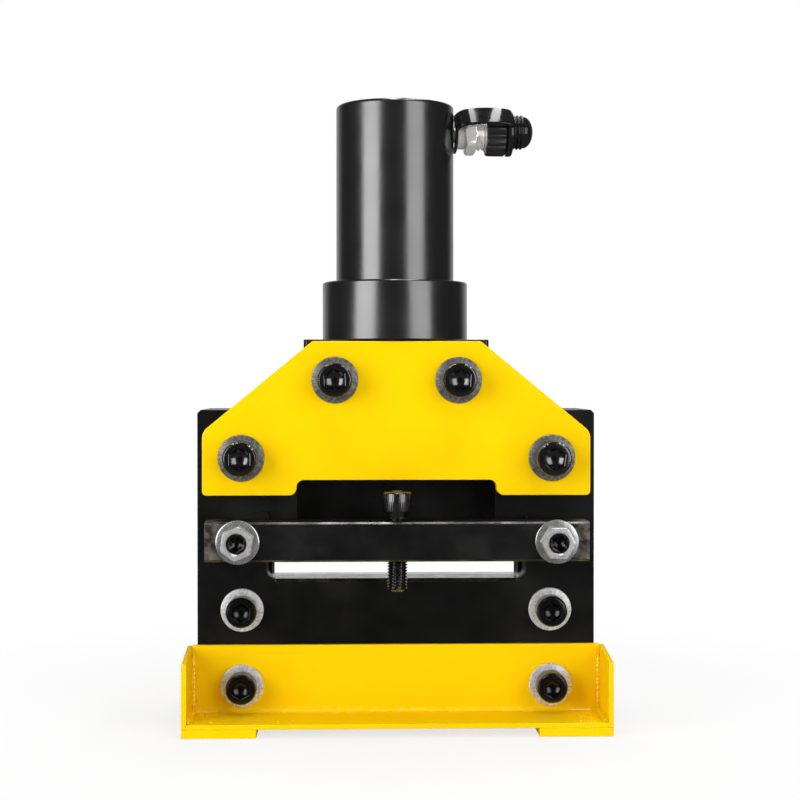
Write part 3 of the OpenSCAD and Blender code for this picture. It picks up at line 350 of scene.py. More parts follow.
# %% Handled black bar
wear_starts, wear_full = 0.1, 0.11
bare_steel = (0.17, 0.145, 0.125, 1)
bar_black = finish("handled black bar",
                   [(0.0018, 0.0018, 0.0019), (0.005, 0.005, 0.005), (0.014, 0.0138, 0.0134)],
                   45, (0.3, 0.44), grain=(1500, 0.04), shine=0.3)
tree, shader, here = parts_of(bar_black)
across = add(tree, "SeparateXYZ", Vector=here).outputs["X"]
from_middle = add(tree, "Math", {"operation": "ABSOLUTE"}, i0=across).outputs[0]
rubbed = between(tree, from_middle, 0.0, 1.0, start=wear_starts, end=wear_full)
cloud = between(tree, noise(tree, here, scale=130, detail=5), 0.1, 1.0, start=0.4, end=0.58)
amount = math_node(tree, "MULTIPLY", rubbed, cloud)
shade = add(tree, "Mix", {"data_type": "RGBA"})
first_colour, second_colour, result = shade.inputs[6], shade.inputs[7], shade.outputs[2]
tree.links.new(amount, shade.inputs["Factor"])
tree.links.new(shader.inputs["Base Color"].links[0].from_socket, first_colour)
second_colour.default_value = bare_steel
tree.links.new(result, shader.inputs["Base Color"])
print("bar is bare beyond", wear_full, "m from its middle")

# %% [markdown]
# ## The cylinder's coat
# Cylinder, collar and head block have a smooth black coat with a strong, slightly soft shine. The shine
# makes the two streaks, and a wide, weak grain lets them waver a little as on a real turned tube.

# %% Cylinder coat
cylinder_black = finish("satin black cylinder",
                        [(0.0035, 0.0035, 0.0038), (0.0075, 0.0075, 0.0079)],
                        10, (0.2, 0.27), grain=(150, 0.05), stretch=(1, 1, 1.6), shine=0.81, ior=1.72)
cylinder_edge = finish("rubbed cylinder edge", [(0.02, 0.02, 0.02), (0.07, 0.068, 0.066)],
                       70, (0.25, 0.4), metal=0.5)
print("cylinder coat is ready")

# %% [markdown]
# ## Black screws
# Hardened screws are black and slightly oily. The larger ones of the yoke shine most, those of the base
# are duller, and the hold-down screw is greyer, because it is turned by hand and oiled. The same grain
# with three tones and strengths of shine keeps them one family.

# %% Screw finishes
deep_black = [(0.0006, 0.0006, 0.0007), (0.003, 0.003, 0.0033)]
oiled_black = [(0.002, 0.002, 0.0024), (0.007, 0.007, 0.008)]
screw_grain = (2200, 0.05)
screw_black = finish("black screw", deep_black, 130, (0.14, 0.24),
                     shine=0.4, ior=1.6, grain=screw_grain)
screw_glossy = finish("glossy black screw", deep_black, 130, (0.12, 0.2),
                      shine=0.8, ior=1.75, grain=screw_grain)
screw_oiled = finish("oiled black screw", oiled_black, 130, (0.14, 0.24),
                     shine=0.85, ior=1.65, grain=screw_grain)
print("screw finishes are ready")

# %% [markdown]
# ## Zinc and washers
# Zinc plating is bright with a soft grey mottling. The hexagons of the flange nuts get a paler zinc than
# their skirts, a painted highlight for the light their faces catch. The thick washers under the yoke's
# screws are matt grey. Washers keep the fine rings of the lathe, which a wave texture draws round each
# piece's own axis.

# %% Zinc and washer finishes
zinc = finish("bright zinc", [(0.3, 0.31, 0.31), (0.42, 0.43, 0.43), (0.58, 0.59, 0.59)],
              110, (0.18, 0.32), metal=0.75, grain=(1800, 0.06))
# The hexagon's zinc is paler than the skirt's: a painted highlight.
nut_zinc_painted_highlight = finish("nut zinc painted paler", [(0.44, 0.44, 0.44), (0.56, 0.56, 0.56), (0.7, 0.7, 0.7)],
                  600, (0.24, 0.4), metal=0.5, grain=(2000, 0.04))
bright_washer = finish("bright washer zinc",
                       [(0.6, 0.6, 0.6), (0.75, 0.75, 0.75), (0.9, 0.9, 0.9)],
                       200, (0.2, 0.36), metal=0.35, grain=(1800, 0.06))
grey_washer = finish("turned grey washer",
                     [(0.1, 0.098, 0.096), (0.22, 0.218, 0.215), (0.42, 0.415, 0.41)],
                     600, (0.3, 0.5), metal=0.75, grain=(1800, 0.1))


def turned_rings(material, per_metre, strength):
    """Fine rings round the Z axis of each piece, as a lathe leaves them."""
    tree, _, here = parts_of(material)
    rings = add(tree, "TexWave", {"wave_type": "RINGS", "rings_direction": "Z"}, Vector=here,
                Scale=per_metre, Distortion=0.6, Detail=1.0).outputs["Fac"]
    add_bump(material, rings, strength, distance=0.2 * MM)


turned_rings(grey_washer, per_metre=900, strength=0.25)
turned_rings(bright_washer, per_metre=900, strength=0.2)
print("zinc and washers are ready")

# %% [markdown]
# ## Bare metals
# The blades are ground, the piston rod is chromed, and piston and gland are turned from steel and
# bronze. Most of them hide inside the cutter, but they show when it is taken apart, so they get real
# finishes too. The coupler is nickel plated, a little warmer than zinc.

# %% Bare metal finishes
blade_steel = finish("ground blade steel", [(0.38, 0.38, 0.4), (0.52, 0.52, 0.54)],
                     40, (0.2, 0.34), metal=1.0, grain=(600, 0.1), stretch=(1, 1, 30))
bright_rod = finish("chromed rod", [(0.74, 0.74, 0.76), (0.82, 0.82, 0.84)],
                    20, (0.06, 0.14), metal=1.0)
machined = finish("turned steel", [(0.34, 0.34, 0.35), (0.47, 0.47, 0.49)],
                  90, (0.28, 0.42), metal=1.0)
spring_steel = finish("dark spring wire", [(0.12, 0.12, 0.13), (0.26, 0.26, 0.28)],
                      160, (0.25, 0.4), metal=0.9)
bronze = finish("gland bronze metal", [(0.5, 0.32, 0.12), (0.62, 0.43, 0.2)],
                90, (0.24, 0.4), metal=1.0)
nickel = finish("warm nickel", [(0.84, 0.82, 0.77), (0.93, 0.92, 0.88), (0.98, 0.97, 0.95)],
                120, (0.08, 0.16), metal=0.5, grain=(1500, 0.04))
turned_rings(machined, per_metre=700, strength=0.15)
turned_rings(bronze, per_metre=700, strength=0.15)
print("bare metals are ready")

# %% [markdown]
# ## Rubber and plastic
# The seals are soft and matt. The dust cap is hard moulded plastic with a low sheen, and its strap is
# glossy, so it gets a roughness near zero, where the lamps show as clear bright patches.

# %% Rubber and plastic finishes
rubber = finish("black seal rubber", [(0.01, 0.01, 0.01), (0.02, 0.02, 0.02)],
                90, (0.5, 0.7))
seal_plastic = finish("blue seal plastic", [(0.07, 0.13, 0.3), (0.1, 0.17, 0.36)],
                      60, (0.35, 0.5))
guide_plastic = finish("tan guide plastic", [(0.5, 0.44, 0.3), (0.6, 0.55, 0.42)],
                       90, (0.45, 0.6))
cap_plastic = finish("moulded cap plastic", [(0.012, 0.012, 0.013), (0.02, 0.02, 0.021)],
                     120, (0.3, 0.42), grain=(1600, 0.05))
strap_plastic = finish("glossy strap plastic",
                       [(0.008, 0.008, 0.009), (0.013, 0.013, 0.014)],
                       90, (0.05, 0.11), grain=(300, 0.03), shine=0.42)

# %% [markdown]
# ## First, a finish for every solid
# Each solid of the frame names its material slot in the record. Giving all of them their finish now
# means that inner parts, such as the piston, are right even though the top of the cylinder hides them.

# %% Dress the solids
by_slot = {
    "yellow_paint": yellow, "blackened_steel": black, "cylinder_black": cylinder_black,
    "screw_black": screw_black, "zinc_plate": zinc, "grey_washer": grey_washer, "blade_steel": blade_steel,
    "bright_rod": bright_rod, "machined_steel": machined, "spring_steel": spring_steel,
    "gland_bronze": bronze, "seal_rubber": rubber, "seal_plastic": seal_plastic,
    "guide_plastic": guide_plastic, "nickel_plate": nickel, "cap_plastic": cap_plastic,
    "strap_plastic": strap_plastic,
}
for part in frame["record"]["subparts"]:
    solid = frame["nodes"][part["node"]]
    solid.data.materials.clear()
    solid.data.materials.append(by_slot[part["material_slot"]])

# %% [markdown]
# ## Making a piece
# New pieces are written as points and faces in millimetres. Every round piece is written standing up,
# because that is easy to think about, and a matrix turns it to the front or the back. The helpers make
# the mesh in metres, shade it smooth except across sharp edges, and let it ride on its body.

# %% Helpers for new pieces
def place(x=0.0, y=0.0, z=0.0, side=0, turn=0.0):
    """A piece that stands on +Z is put at x, y, z; side -1 points it to the front, 1 to the back."""
    return (Matrix.Translation((x * MM, y * MM, z * MM)) @ Matrix.Rotation(math.radians(-90 * side), 4, "X")
            @ Matrix.Rotation(math.radians(turn), 4, "Z"))


def finish_piece(name, mesh, materials, body, stands_for, at=None, crease=32):
    """Turns a mesh into a piece that rides on a body and stands for some solids."""
    mesh.validate()
    mesh.polygons.foreach_set("use_smooth", [True] * len(mesh.polygons))
    mesh.set_sharp_from_angle(angle=math.radians(crease))
    for material in materials:
        mesh.materials.append(material)
    made = bpy.data.objects.new(name, mesh)
    scene.collection.objects.link(made)
    if at is not None:
        made.matrix_world = at
    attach(made, body)
    if stands_for:
        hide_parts(*stands_for)
    return made


def piece(name, shape, material, body, stands_for=(), at=None, crease=32):
    """Makes a piece from points, in millimetres, and faces."""
    points, faces = shape
    mesh = bpy.data.meshes.new(name)
    mesh.from_pydata([(x * MM, y * MM, z * MM) for x, y, z in points], [], faces)
    return finish_piece(name, mesh, [material], body, stands_for, at, crease)


# %% [markdown]
# ## Plates with real edges
# A cut steel plate never has a perfectly sharp edge: it is broken with a file, and that thin strip
# catches the light. The flat triangles of a solid are first joined into whole faces, and then each
# sharp edge is bevelled. A bevel modifier would do the same, but only in code can the strips, and the
# floor of the slot where the busbar slides, get a rubbed finish of their own.

# %% Helpers for bevelled plates
same_point, short_edge, flat_angle = 2e-6, 4e-6, 0.4
strip_area = 4e-5
slot_top = 0.12
leans_from, leans_to, level = 0.3, 0.95, 0.9


def whole_faces(node):
    """A copy of a solid's mesh whose flat triangles are joined into whole faces."""
    work = bmesh.new()
    work.from_mesh(frame["nodes"][node].data)
    bmesh.ops.remove_doubles(work, verts=work.verts, dist=same_point)
    bmesh.ops.dissolve_degenerate(work, dist=short_edge, edges=work.edges)
    bmesh.ops.dissolve_limit(work, angle_limit=math.radians(flat_angle), verts=work.verts, edges=work.edges)
    return work


def is_rubbed(face):
    """True for a chamfer, which leans to the front or back, and for the floor of the slot."""
    leans = leans_from < abs(face.normal.y) < leans_to
    slid_on = face.normal.z > level and face.calc_center_median().z < slot_top
    return leans or slid_on


def bevelled(node, width, material, edge_material, body="frame", rounds=2, sharp=28, bare_chamfers=False):
    """A piece that stands for a solid, with bevelled edges of some width in millimetres."""
    work = whole_faces(node)
    limit = math.radians(sharp)
    edges = [e for e in work.edges if len(e.link_faces) == 2 and e.calc_face_angle(0) > limit]
    for face in work.faces:
        face.material_index = 1 if bare_chamfers and is_rubbed(face) else 0
    bmesh.ops.bevel(work, geom=edges, offset=width * MM, offset_type="OFFSET", segments=rounds, profile=0.5,
                    affect="EDGES", clamp_overlap=True, material=1)
    mesh = bpy.data.meshes.new(node + "_dressed")
    work.to_mesh(mesh)
    work.free()
    made = finish_piece(node + "_dressed", mesh, [material, edge_material], body, (node,), crease=40)
    mesh.polygons.foreach_set("use_smooth", [p.area < strip_area for p in mesh.polygons])
    print(node, "has", len(edges), "bevelled edges")
    return made


joined = whole_faces("front_body_plate")
triangles = len(frame["nodes"]["front_body_plate"].data.polygons)
print("front plate:", triangles, "triangles make", len(joined.faces), "whole faces")
joined.free()

# %% [markdown]
# ## The plates, the bar and the blades
# The yoke is cut from thick plate and painted, so its edges are the softest. The bent base trays are
# thinner, and the body plates are ground, with crisp edges. The blades stay nearly sharp, as a cutter
# must, and a single narrow strip is enough for them.

# %% Bevel the plates
# Bevel strips of the yellow plates take the lighter edge yellow, a painted highlight.
for node, width in (("front_yoke_plate", 0.7), ("rear_yoke_plate", 0.7), ("front_base_tray", 0.45),
                    ("rear_base_tray", 0.45), ("base_end_plates", 0.45), ("foot_pads", 0.25)):
    bevelled(node, width, yellow, yellow_edge_painted_highlight)
for node in ("front_body_plate", "rear_body_plate", "left_guide_bar", "right_guide_bar", "lower_spacer"):
    bevelled(node, 0.4, black, black_edge, bare_chamfers=True)
bevelled("bar_spacers", 0.3, black, black)
bevelled("hold_down_bar", 0.35, bar_black, black_edge, bare_chamfers=True)
bevelled("head_block", 0.5, cylinder_black, cylinder_edge)
bevelled("ram", 0.4, black, black_edge, "ram_unit")
bevelled("moving_blade", 0.15, blade_steel, blade_steel, "ram_unit", 1)
bevelled("fixed_blade", 0.15, blade_steel, blade_steel, "frame", 1)

# %% [markdown]
# ## Round pieces from rings
# Screws, nuts, washers and the cylinder are all turned on a lathe. Each can be written as a list of
# rings from one end to the other: a height, and a radius or a function that gives the radius at each
# angle. Such a function makes hexagons, knurls, ribs and threads with the same helper.

# %% Helper for round pieces
def lathe(rings, steps=96, closed=False):
    """Points and faces through (height, radius) rings; a closed one joins its last ring to its first."""
    points = []
    for z, radius in rings:
        for k in range(steps):
            angle = 2 * math.pi * k / steps
            r = radius(angle) if callable(radius) else radius
            points.append((r * math.cos(angle), r * math.sin(angle), z))
    count = len(rings)
    faces = []
    for i in range(count if closed else count - 1):
        low, high = i * steps, (i + 1) % count * steps
        for k in range(steps):
            n = (k + 1) % steps
            faces.append((low + k, low + n, high + n, high + k))
    if not closed:
        faces.append(tuple(range(steps))[::-1])
        faces.append(tuple(range((count - 1) * steps, count * steps)))
    return points, faces


print("a plain rod of 96 steps has", len(lathe([(0, 1), (1, 1)])[1]), "faces")

# %% [markdown]
# ## Hexagons and threads
# A hexagon's radius grows from the middle of each flat to the corner, which one cosine describes. The
# ridge of a thread climbs by one pitch in each turn, so its radius depends on height and angle
# together. At both ends the thread runs out, and its cut gets shallow there.

# %% Helpers for hexagons and threads
def hexagon(flats):
    """Radius of a hexagon at each angle, for a width across its flats."""
    return lambda a: flats / 2 / math.cos(a % (math.pi / 3) - math.pi / 6)


def least(shape, limit):
    """The smaller of a shape and a limit, at each angle."""
    return lambda a: min(shape(a), limit)


def thread(radius, pitch, start, end, per_turn=8):
    """Rings of a screw thread between two heights."""
    depth = 0.6 * pitch
    run_out, shallowest = 0.8 * per_turn, 0.25
    steepness, crest = 1.3, 0.12
    count = max(2, round(abs(end - start) / pitch * per_turn))

    def ring(z, cut):
        def radius_at(angle):
            turn = (z / pitch - angle / (2 * math.pi)) % 1
            groove = 1 - abs(2 * turn - 1)
            return radius - cut * min(1.0, max(0.0, steepness * groove - crest))
        return radius_at

    rings = []
    for k in range(count + 1):
        z = start + (end - start) * k / count
        from_end = min(k, count - k) / run_out
        rings.append((z, ring(z, depth * min(1.0, from_end + shallowest))))
    return rings


print("corners of an 18 mm hexagon stand", round(hexagon(18)(0), 2), "mm from its middle")
print("rings in 14 mm of thread:", len(thread(6, 1.75, 0, 14)))

# %% [markdown]
# ## Socket head screws
# A socket head screw has a knurled cylinder for a head, a chamfered rim, and a hexagonal socket with a
# coned bottom that catches the two side lights. A deep straight socket would only look black. The knurl
# is a wave round the head with 52 grooves, and four steps of the circle for each groove show it.

# %% Helper for socket head screws
grooves, steps_per_groove = 52, 4


def socket_bottom(z, flats):
    """Rings of the coned bottom and of the small drill hole in its middle."""
    profile = ((0.055, 0.42), (0.115, 0.31), (0.15, 0.2), (0.16, 0.13), (0.4, 0.12), (0.4, 0.03))
    return [(z - flats * down, flats * out) for down, out in profile]


def socket_head(d, length, head_d, head_h, flats, threaded, pitch, knurl=0.34):
    """A screw that stands head up, with the underside of its head at z = 0."""
    r = head_d / 2
    floor_z = head_h - 0.42 * head_h
    six = hexagon(flats)

    def ridged(base, share=1.0):
        return lambda a: base - knurl * share * (0.5 - 0.5 * math.cos(grooves * a))

    def wider(by):
        return lambda a: six(a) + by

    shank = [(-length, d / 2 - 0.6 * pitch)]
    shank += thread(d / 2, pitch, 0.6 * pitch - length, threaded - length)
    shank += [(threaded - length + 0.5, d / 2), (-0.6, d / 2), (0, d / 2 + 0.3)]
    head = [(0, r - 0.7), (0.25, r - 0.25), (0.6, ridged(r)), (head_h - 1.3, ridged(r))]
    rim = [(head_h - 0.8, ridged(r - 0.2, 0.9)), (head_h - 0.45, ridged(r - 0.55, 0.8)),
           (head_h - 0.15, ridged(r - 1.0, 0.6)), (head_h, r - 1.6)]
    socket = [(head_h, wider(0.35)), (head_h - 0.12, wider(0.12)), (head_h - 0.3, six),
              (floor_z, six), (floor_z, flats * 0.495)]
    rings = shank + head + rim + socket + socket_bottom(floor_z, flats)
    return lathe(rings, grooves * steps_per_groove)


print("steps round a screw:", grooves * steps_per_groove)

# %% [markdown]
# ## Where the screws sit
# Screws go through the base and the body in pairs, and four hold each yoke plate, all on washers. A
# screw's head sits on the outer face of its washer, so its place follows from the faces of the plates
# and the thickness of a washer, and most of these numbers come from the solids.

# %% Places of the screws
washer_d, washer_t, yoke_washer_d = 26, 2.5, 28
plate_y, yoke_y = span("rear_body_plate", "y")[1], span("rear_yoke_plate", "y")[1]
tray_y = span("stack_washers", "y")[1] - washer_t
on_plate, on_tray, on_yoke = plate_y + washer_t, tray_y + washer_t, yoke_y + washer_t
outer_x, inner_x = span("stack_washers", "x")[1] - washer_d / 2, 37
base_z, body_z = middle("base_screws", "z"), middle("body_screws", "z")
low_z, high_z = 161.4, 208
print("screws stand", outer_x, "mm from the middle")

# %% [markdown]
# ## Screws of the stack and the yoke
# Screws of a size are copies from one box, so they share one mesh and only their places differ. No two
# are turned alike, because nobody lines the sockets up when tightening them.

# %% Screws of the stack and the yoke
def screw_set(name, node, shape, spots, material=screw_black, body="frame"):
    """Screws that share a mesh; a spot is x, y, z, side and turn."""
    first = None
    for k, (x, y, z, side, turn) in enumerate(spots):
        at = place(x, y, z, side, turn)
        if first is None:
            first = piece(f"{name}_{k}", shape, material, body, (node,), at, 20)
        else:
            again = bpy.data.objects.new(f"{name}_{k}", first.data)
            scene.collection.objects.link(again)
            again.matrix_world = at
            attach(again, body)
            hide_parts(node)
    print(name, "screws:", len(spots))


base_length = span("base_screws", "y")[1] + on_tray
base_screw = socket_head(12, base_length, 18.5, 12, 10, threaded=30, pitch=1.75)
screw_set("base_screw", "base_screws", base_screw,
          [(-outer_x, -on_tray, base_z, -1, 28), (outer_x, -on_tray, base_z, -1, 33)])
body_length = span("body_screws", "y")[1] + on_plate
body_screw = socket_head(12, body_length, 18.5, 12, 10, threaded=30, pitch=1.75)
screw_set("body_screw", "body_screws", body_screw,
          [(-outer_x, -on_plate, body_z, -1, 25), (outer_x, -on_plate, body_z, -1, 36)])
outer_screw = socket_head(14, 44.5, 21, 14, 12, threaded=28, pitch=2, knurl=0.45)
screw_set("yoke_outer_screw", "yoke_screws", outer_screw,
          [(-outer_x, -on_yoke, low_z, -1, 30), (outer_x, -on_yoke, low_z, -1, 22),
           (-outer_x, on_yoke, low_z, 1, 10), (outer_x, on_yoke, low_z, 1, 40)], screw_glossy)
inner_screw = socket_head(14, 30, 21, 14, 12, threaded=22, pitch=2, knurl=0.45)
screw_set("yoke_inner_screw", "yoke_screws", inner_screw,
          [(-inner_x, -on_yoke, high_z, -1, 33), (inner_x, -on_yoke, high_z, -1, 27),
           (-inner_x, on_yoke, high_z, 1, 0), (inner_x, on_yoke, high_z, 1, 17)], screw_glossy)

# %% [markdown]
# ## Washers
# A washer spreads the push of a screw over soft paint. Those of the yoke are larger. A washer is
# punched, so its top rim is rounded and its bore is clean, and a closed loop of rings gives it both. A
# plain tube would have no rim to catch the light.

# %% Washers
def washer(outer, inner, thick):
    """A washer that lies on z = 0, with its rounded rim up."""
    rim, bore, edge = outer / 2, inner / 2, 0.3
    return lathe([(0, bore + 0.1), (0, rim - edge), (edge, rim), (thick - 0.8, rim), (thick - 0.4, rim - 0.1),
                  (thick - 0.12, rim - 0.35), (thick, rim - 0.85), (thick, bore + edge), (thick - edge, bore),
                  (edge, bore)], 128, closed=True)


def washer_pair(name, size, material, node, x, y, z):
    """One washer on the front and one on the back."""
    for side, label in ((-1, "front"), (1, "back")):
        piece(f"{name}_{label}", washer(*size), material, "frame", (node,), place(x, side * y, z, side))


stack_spots = [(side * outer_x, y, z) for z, y in ((body_z, plate_y), (base_z, tray_y)) for side in (-1, 1)]
yoke_spots = [(side * x, yoke_y, z) for x, z in ((outer_x, low_z), (inner_x, high_z)) for side in (-1, 1)]
for k, (x, y, z) in enumerate(stack_spots):
    washer_pair(f"stack_washer_{k}", (washer_d, 13, washer_t), bright_washer, "stack_washers", x, y, z)
for k, (x, y, z) in enumerate(yoke_spots):
    washer_pair(f"yoke_washer_{k}", (yoke_washer_d, 15, washer_t), grey_washer, "yoke_washers", x, y, z)
print("pairs of washers:", len(stack_spots) + len(yoke_spots))

# %% [markdown]
# ## Nuts
# The through bolts end in nuts at the back. The hexagon of a nut is cut down at its corners by a cone,
# which leaves the curved edges that every nut has. The lower of hexagon and cone, taken at each angle,
# gives that curve without any cutting. A nut on a base keeps its full hexagon there and a soft top.

# %% Nuts behind the stack
def nut(flats, height, bore, base=()):
    """A nut that stands on z = 0, or on the rings of a base."""
    six = hexagon(flats)
    flat_r = 0.47 * flats
    slope = math.tan(math.radians(60))
    rise = [0, 0.15, 0.35, 0.6, 0.9, 1.25]
    low = list(base) or [(z, least(six, flat_r + z * slope)) for z in rise]
    high = [(height - z, least(six, flat_r + z * slope)) for z in reversed(rise)]
    if base:
        corner_r = 10
        soft = ((0.8, 0), (0.4, 0.1), (0.12, 0.35), (0, 0.8))
        high = [(height - z, lambda a, cut=cut: min(six(a), corner_r) - cut) for z, cut in soft]
    hole = [(height, bore + 0.7), (height - 0.7, bore), (0.5, bore), (0, bore + 0.5)]
    return lathe(low + high + hole, 144, closed=True)


for k, (x, y, z) in enumerate(stack_spots):
    piece(f"stack_nut_{k}", nut(18, 10.5, 5.6), zinc, "frame", ("stack_nuts",),
          place(x, y + washer_t, z, 1, 17 + 23 * k), 20)
print("nuts behind the stack:", len(stack_spots))

# %% [markdown]
# ## Flange nuts
# Two flange nuts hold the bar. A flange nut carries its own washer: a round skirt grows out of the
# hexagon. The skirt and the hexagon are made as two pieces because they look different in tone: the
# hexagon gets a paler zinc, a painted highlight, and a piece of one finish would hide the hexagon.

# %% Flange nuts of the bar
bar_face = -span("hold_down_bar", "y")[0]
stud_r = 6
stud_x, stud_z = span("bar_studs", "x")[1] - stud_r, middle("bar_studs", "z")
skirt = [(0, 8.5), (0, 12.4), (0.3, 12.85), (0.7, 13), (1.0, 13), (1.3, 12.85), (1.5, 12.5), (1.6, 12.1),
         (1.9, 9.2), (1.9, 8.5)]
# The hexagon takes the paler zinc, a painted highlight; the skirt takes the plain zinc.
for hand, x, turn in (("left", -stud_x, 22), ("right", stud_x, -2)):
    piece(f"flange_nut_{hand}", nut(18, 12, 6.05, [(1.5, hexagon(18))]), nut_zinc_painted_highlight, "frame",
          ("bar_flange_nuts",), place(x, -bar_face, stud_z, -1, turn), 20)
    piece(f"flange_skirt_{hand}", lathe(skirt, 144, closed=True), zinc, "frame", ("bar_flange_nuts",),
          place(x, -bar_face, stud_z, -1))
print("flange nuts sit at", stud_x, "mm from the middle")

# %% [markdown]
# ## Studs
# The studs are screwed into the stack with a hexagon key, so each ends in a small socket, which shows
# inside the nut. Only the two ends have a thread. The shank between them is plain and hidden, and two
# rings are enough for it.

# %% Studs of the bar
stud_len, stud_pitch, stud_thread = -span("bar_studs", "y")[0], 1.75, 14
well = hexagon(8)
stud = [(0, 5)] + thread(stud_r, stud_pitch, 0.6, stud_thread)
stud += [(14.5, stud_r), (50, stud_r)] + thread(stud_r, stud_pitch, 50.5, stud_len - 0.8)
stud += [(stud_len, 5.0), (stud_len, 4.85), (stud_len - 0.3, lambda a: well(a) + 0.02), (stud_len - 5, well)]
stud += [(stud_len - 5.5, 3.4), (stud_len - 6.4, 1.7), (stud_len - 6.5, 1.2), (stud_len - 9, 1.1),
         (stud_len - 9, 0.3)]
for hand, x, turn in (("left", -stud_x, 40), ("right", stud_x, 25)):
    piece(f"bar_stud_{hand}", lathe(stud, 144), screw_black, "frame", ("bar_studs",),
          place(x, 0, stud_z, -1, turn))
print("studs are", stud_len, "mm long")

# %% [markdown]
# ## The hold-down screw
# This screw stands in front of the slot and presses the busbar down. Its thread shows against the
# bright slot, so it is cut in full, turn by turn, with the same helper as the other screws. Its head
# is nearly smooth, and it rides on a body of its own, which the joint moves up and down.

# %% Hold-down screw
hold_head_h = 12
hold_y = middle("hold_down_screw", "y")
hold_tip, hold_top = span("hold_down_screw", "z")
hold_z = hold_top - hold_head_h
hold_screw = socket_head(12, hold_z - hold_tip, 18, hold_head_h, 10, threaded=44, pitch=1.75, knurl=0.06)
piece("hold_down_screw_dressed", hold_screw, screw_oiled, "hold_screw", ("hold_down_screw",),
      place(0, hold_y, hold_z))
print("hold-down screw's head sits at", hold_z, "mm")

# %% [markdown]
# ## Cylinder and collar
# The cylinder is one turned tube with a closed top, and a collar ring clamps it to the head block. A
# rolled rim, a thin line where the collar ends, and the two streaks of the side lights are all that
# show, so a few rings do. Many steps round the circle keep the streaks straight.

# %% Cylinder and collar
around = 256
foot_z, top_z = span("cylinder_barrel", "z")
collar_z, collar_top = span("cylinder_collar", "z")
barrel_r, collar_r = span("cylinder_barrel", "x")[1], span("cylinder_collar", "x")[1]
foot_r, bore_r, bore_top = span("gland_bush", "x")[1], 26, span("piston", "z")[1]
barrel = [(bore_top, 0.5), (bore_top, bore_r), (foot_z, bore_r), (foot_z, foot_r), (collar_z, foot_r),
          (collar_z, barrel_r)]
barrel += [(top_z - down, barrel_r - cut) for down, cut in
           ((2.2, 0), (1.5, 0.1), (0.9, 0.4), (0.4, 0.9), (0.1, 1.5), (0, 2.3))]
barrel += [(top_z, 20), (top_z, 0.5)]
piece("cylinder_barrel_dressed", lathe(barrel, around), cylinder_black, "frame", ("cylinder_barrel",))
collar = [(collar_z, barrel_r + 0.05), (collar_z, collar_r - 0.5), (collar_z + 0.1, collar_r - 0.2),
          (collar_z + 0.4, collar_r)]
collar += [(collar_top - down, collar_r - cut) for down, cut in ((1.3, 0), (0.7, 0.2), (0.2, 0.7), (0, 1.4))]
collar += [(collar_top, barrel_r + 0.4), (collar_top - 0.3, barrel_r + 0.05)]
piece("cylinder_collar_dressed", lathe(collar, around, closed=True), cylinder_black, "frame",
      ("cylinder_collar",))
print("cylinder ends at", top_z, "mm")

# %% [markdown]
# ## The quick coupler
# The coupler points to the right from the top of the cylinder, a touch to the back. All its pieces
# share one axis, so they are written along that axis, as distances from the middle of the cylinder,
# and turned into place together. The joint of the dust cap knows the axis, and it is taken from there.

# %% The coupler's axis
spin = next(joint for joint in frame["joints"] if joint["name"] == "cap_spin")
turned_back = round(math.degrees(math.atan2(spin["axis"][1], spin["axis"][0])), 2)
coupler = (Matrix.Translation(spin["pos_m"]) @ Matrix.Rotation(math.radians(turned_back), 4, "Z")
           @ Matrix.Rotation(math.radians(90), 4, "Y"))


def raised(mm):
    """The coupler's axis, moved up."""
    return coupler @ Matrix.Translation((-mm * MM, 0, 0))


print("the coupler turns", turned_back, "degrees to the back")

# %% [markdown]
# ## Coupler nipple
# The nipple is plated. It has a round shoulder, a hexagon for the wrench, cut down at its corners, and
# a threaded neck that the dust cap screws on. Its bore is open at the mouth, where the poppet sits, so
# the rings run out along the outside and come back along the bore.

# %% Coupler nipple
wrench = hexagon(23)
corner_cut = [0, 0.15, 0.35, 0.6, 0.9, 1.2]
corner_r, corner_slope = 10.9, 1.75
hexagon_start, hexagon_end = 43.2, 50.4
nipple = [(28, 4.5), (28, 5.2), (37, 5.2), (37, 8), (38.6, 8), (38.6, 8.8), (38.9, 9.2), (42.6, 9.2),
          (42.9, 9.0), (hexagon_start, 9.0)]
nipple += [(hexagon_start + z, least(wrench, corner_r + z * corner_slope)) for z in corner_cut]
nipple += [(hexagon_end - z, least(wrench, corner_r + z * corner_slope)) for z in reversed(corner_cut)]
nipple += [(hexagon_end, 9.0), (51.2, 8.8), (52, 9.4)] + thread(10, 2.2, 52.2, 60.6, 10)
nipple += [(61.2, 9.3), (61.4, 8.8), (61.4, 7), (66.6, 7), (67.2, 6.7), (67.4, 6.2)]
nipple += [(67.4, 2.5), (64.4, 2.5), (62.4, 4.5)]
piece("coupler_nipple_dressed", lathe(nipple, 144, closed=True), nickel, "frame", ("coupler_nipple",),
      coupler @ Matrix.Rotation(math.radians(4), 4, "Z"))
print("nipple has", len(nipple), "rings")

# %% [markdown]
# ## Dust cap
# The cap is moulded with soft ribs for the fingers. Ribs could be set on one by one, but a wave round
# the circle gives all of them, and a power below one keeps their tops broad and the gaps narrow.

# %% Dust cap
def ribbed(low, high, ribs=18):
    """Radius of a ribbed grip at each angle."""
    def radius_at(angle):
        wave = 0.5 + 0.5 * math.cos(ribs * angle)
        return low + (high - low) * wave ** 0.7
    return radius_at


inside = [(67.7, 0.5), (67.7, 7.3), (61.7, 7.3), (61.7, 10.3), (56.7, 10.3), (56.7, 11.6)]
grip = [(57.0, ribbed(11.9, 12.6)), (57.5, ribbed(12.1, 13.2)), (58.2, ribbed(12.2, 13.4)),
        (67.4, ribbed(12.2, 13.4)), (68.3, ribbed(12.1, 13.1)), (69.0, ribbed(11.8, 12.3))]
top = [(69.2, 11.4), (69.2, 9), (72.0, 9), (72.2, 8.6), (72.2, 0.5)]
piece("dust_cap_dressed", lathe(inside + grip + top, 216), cap_plastic, "cap", ("dust_cap",), coupler)
print("dust cap is on")
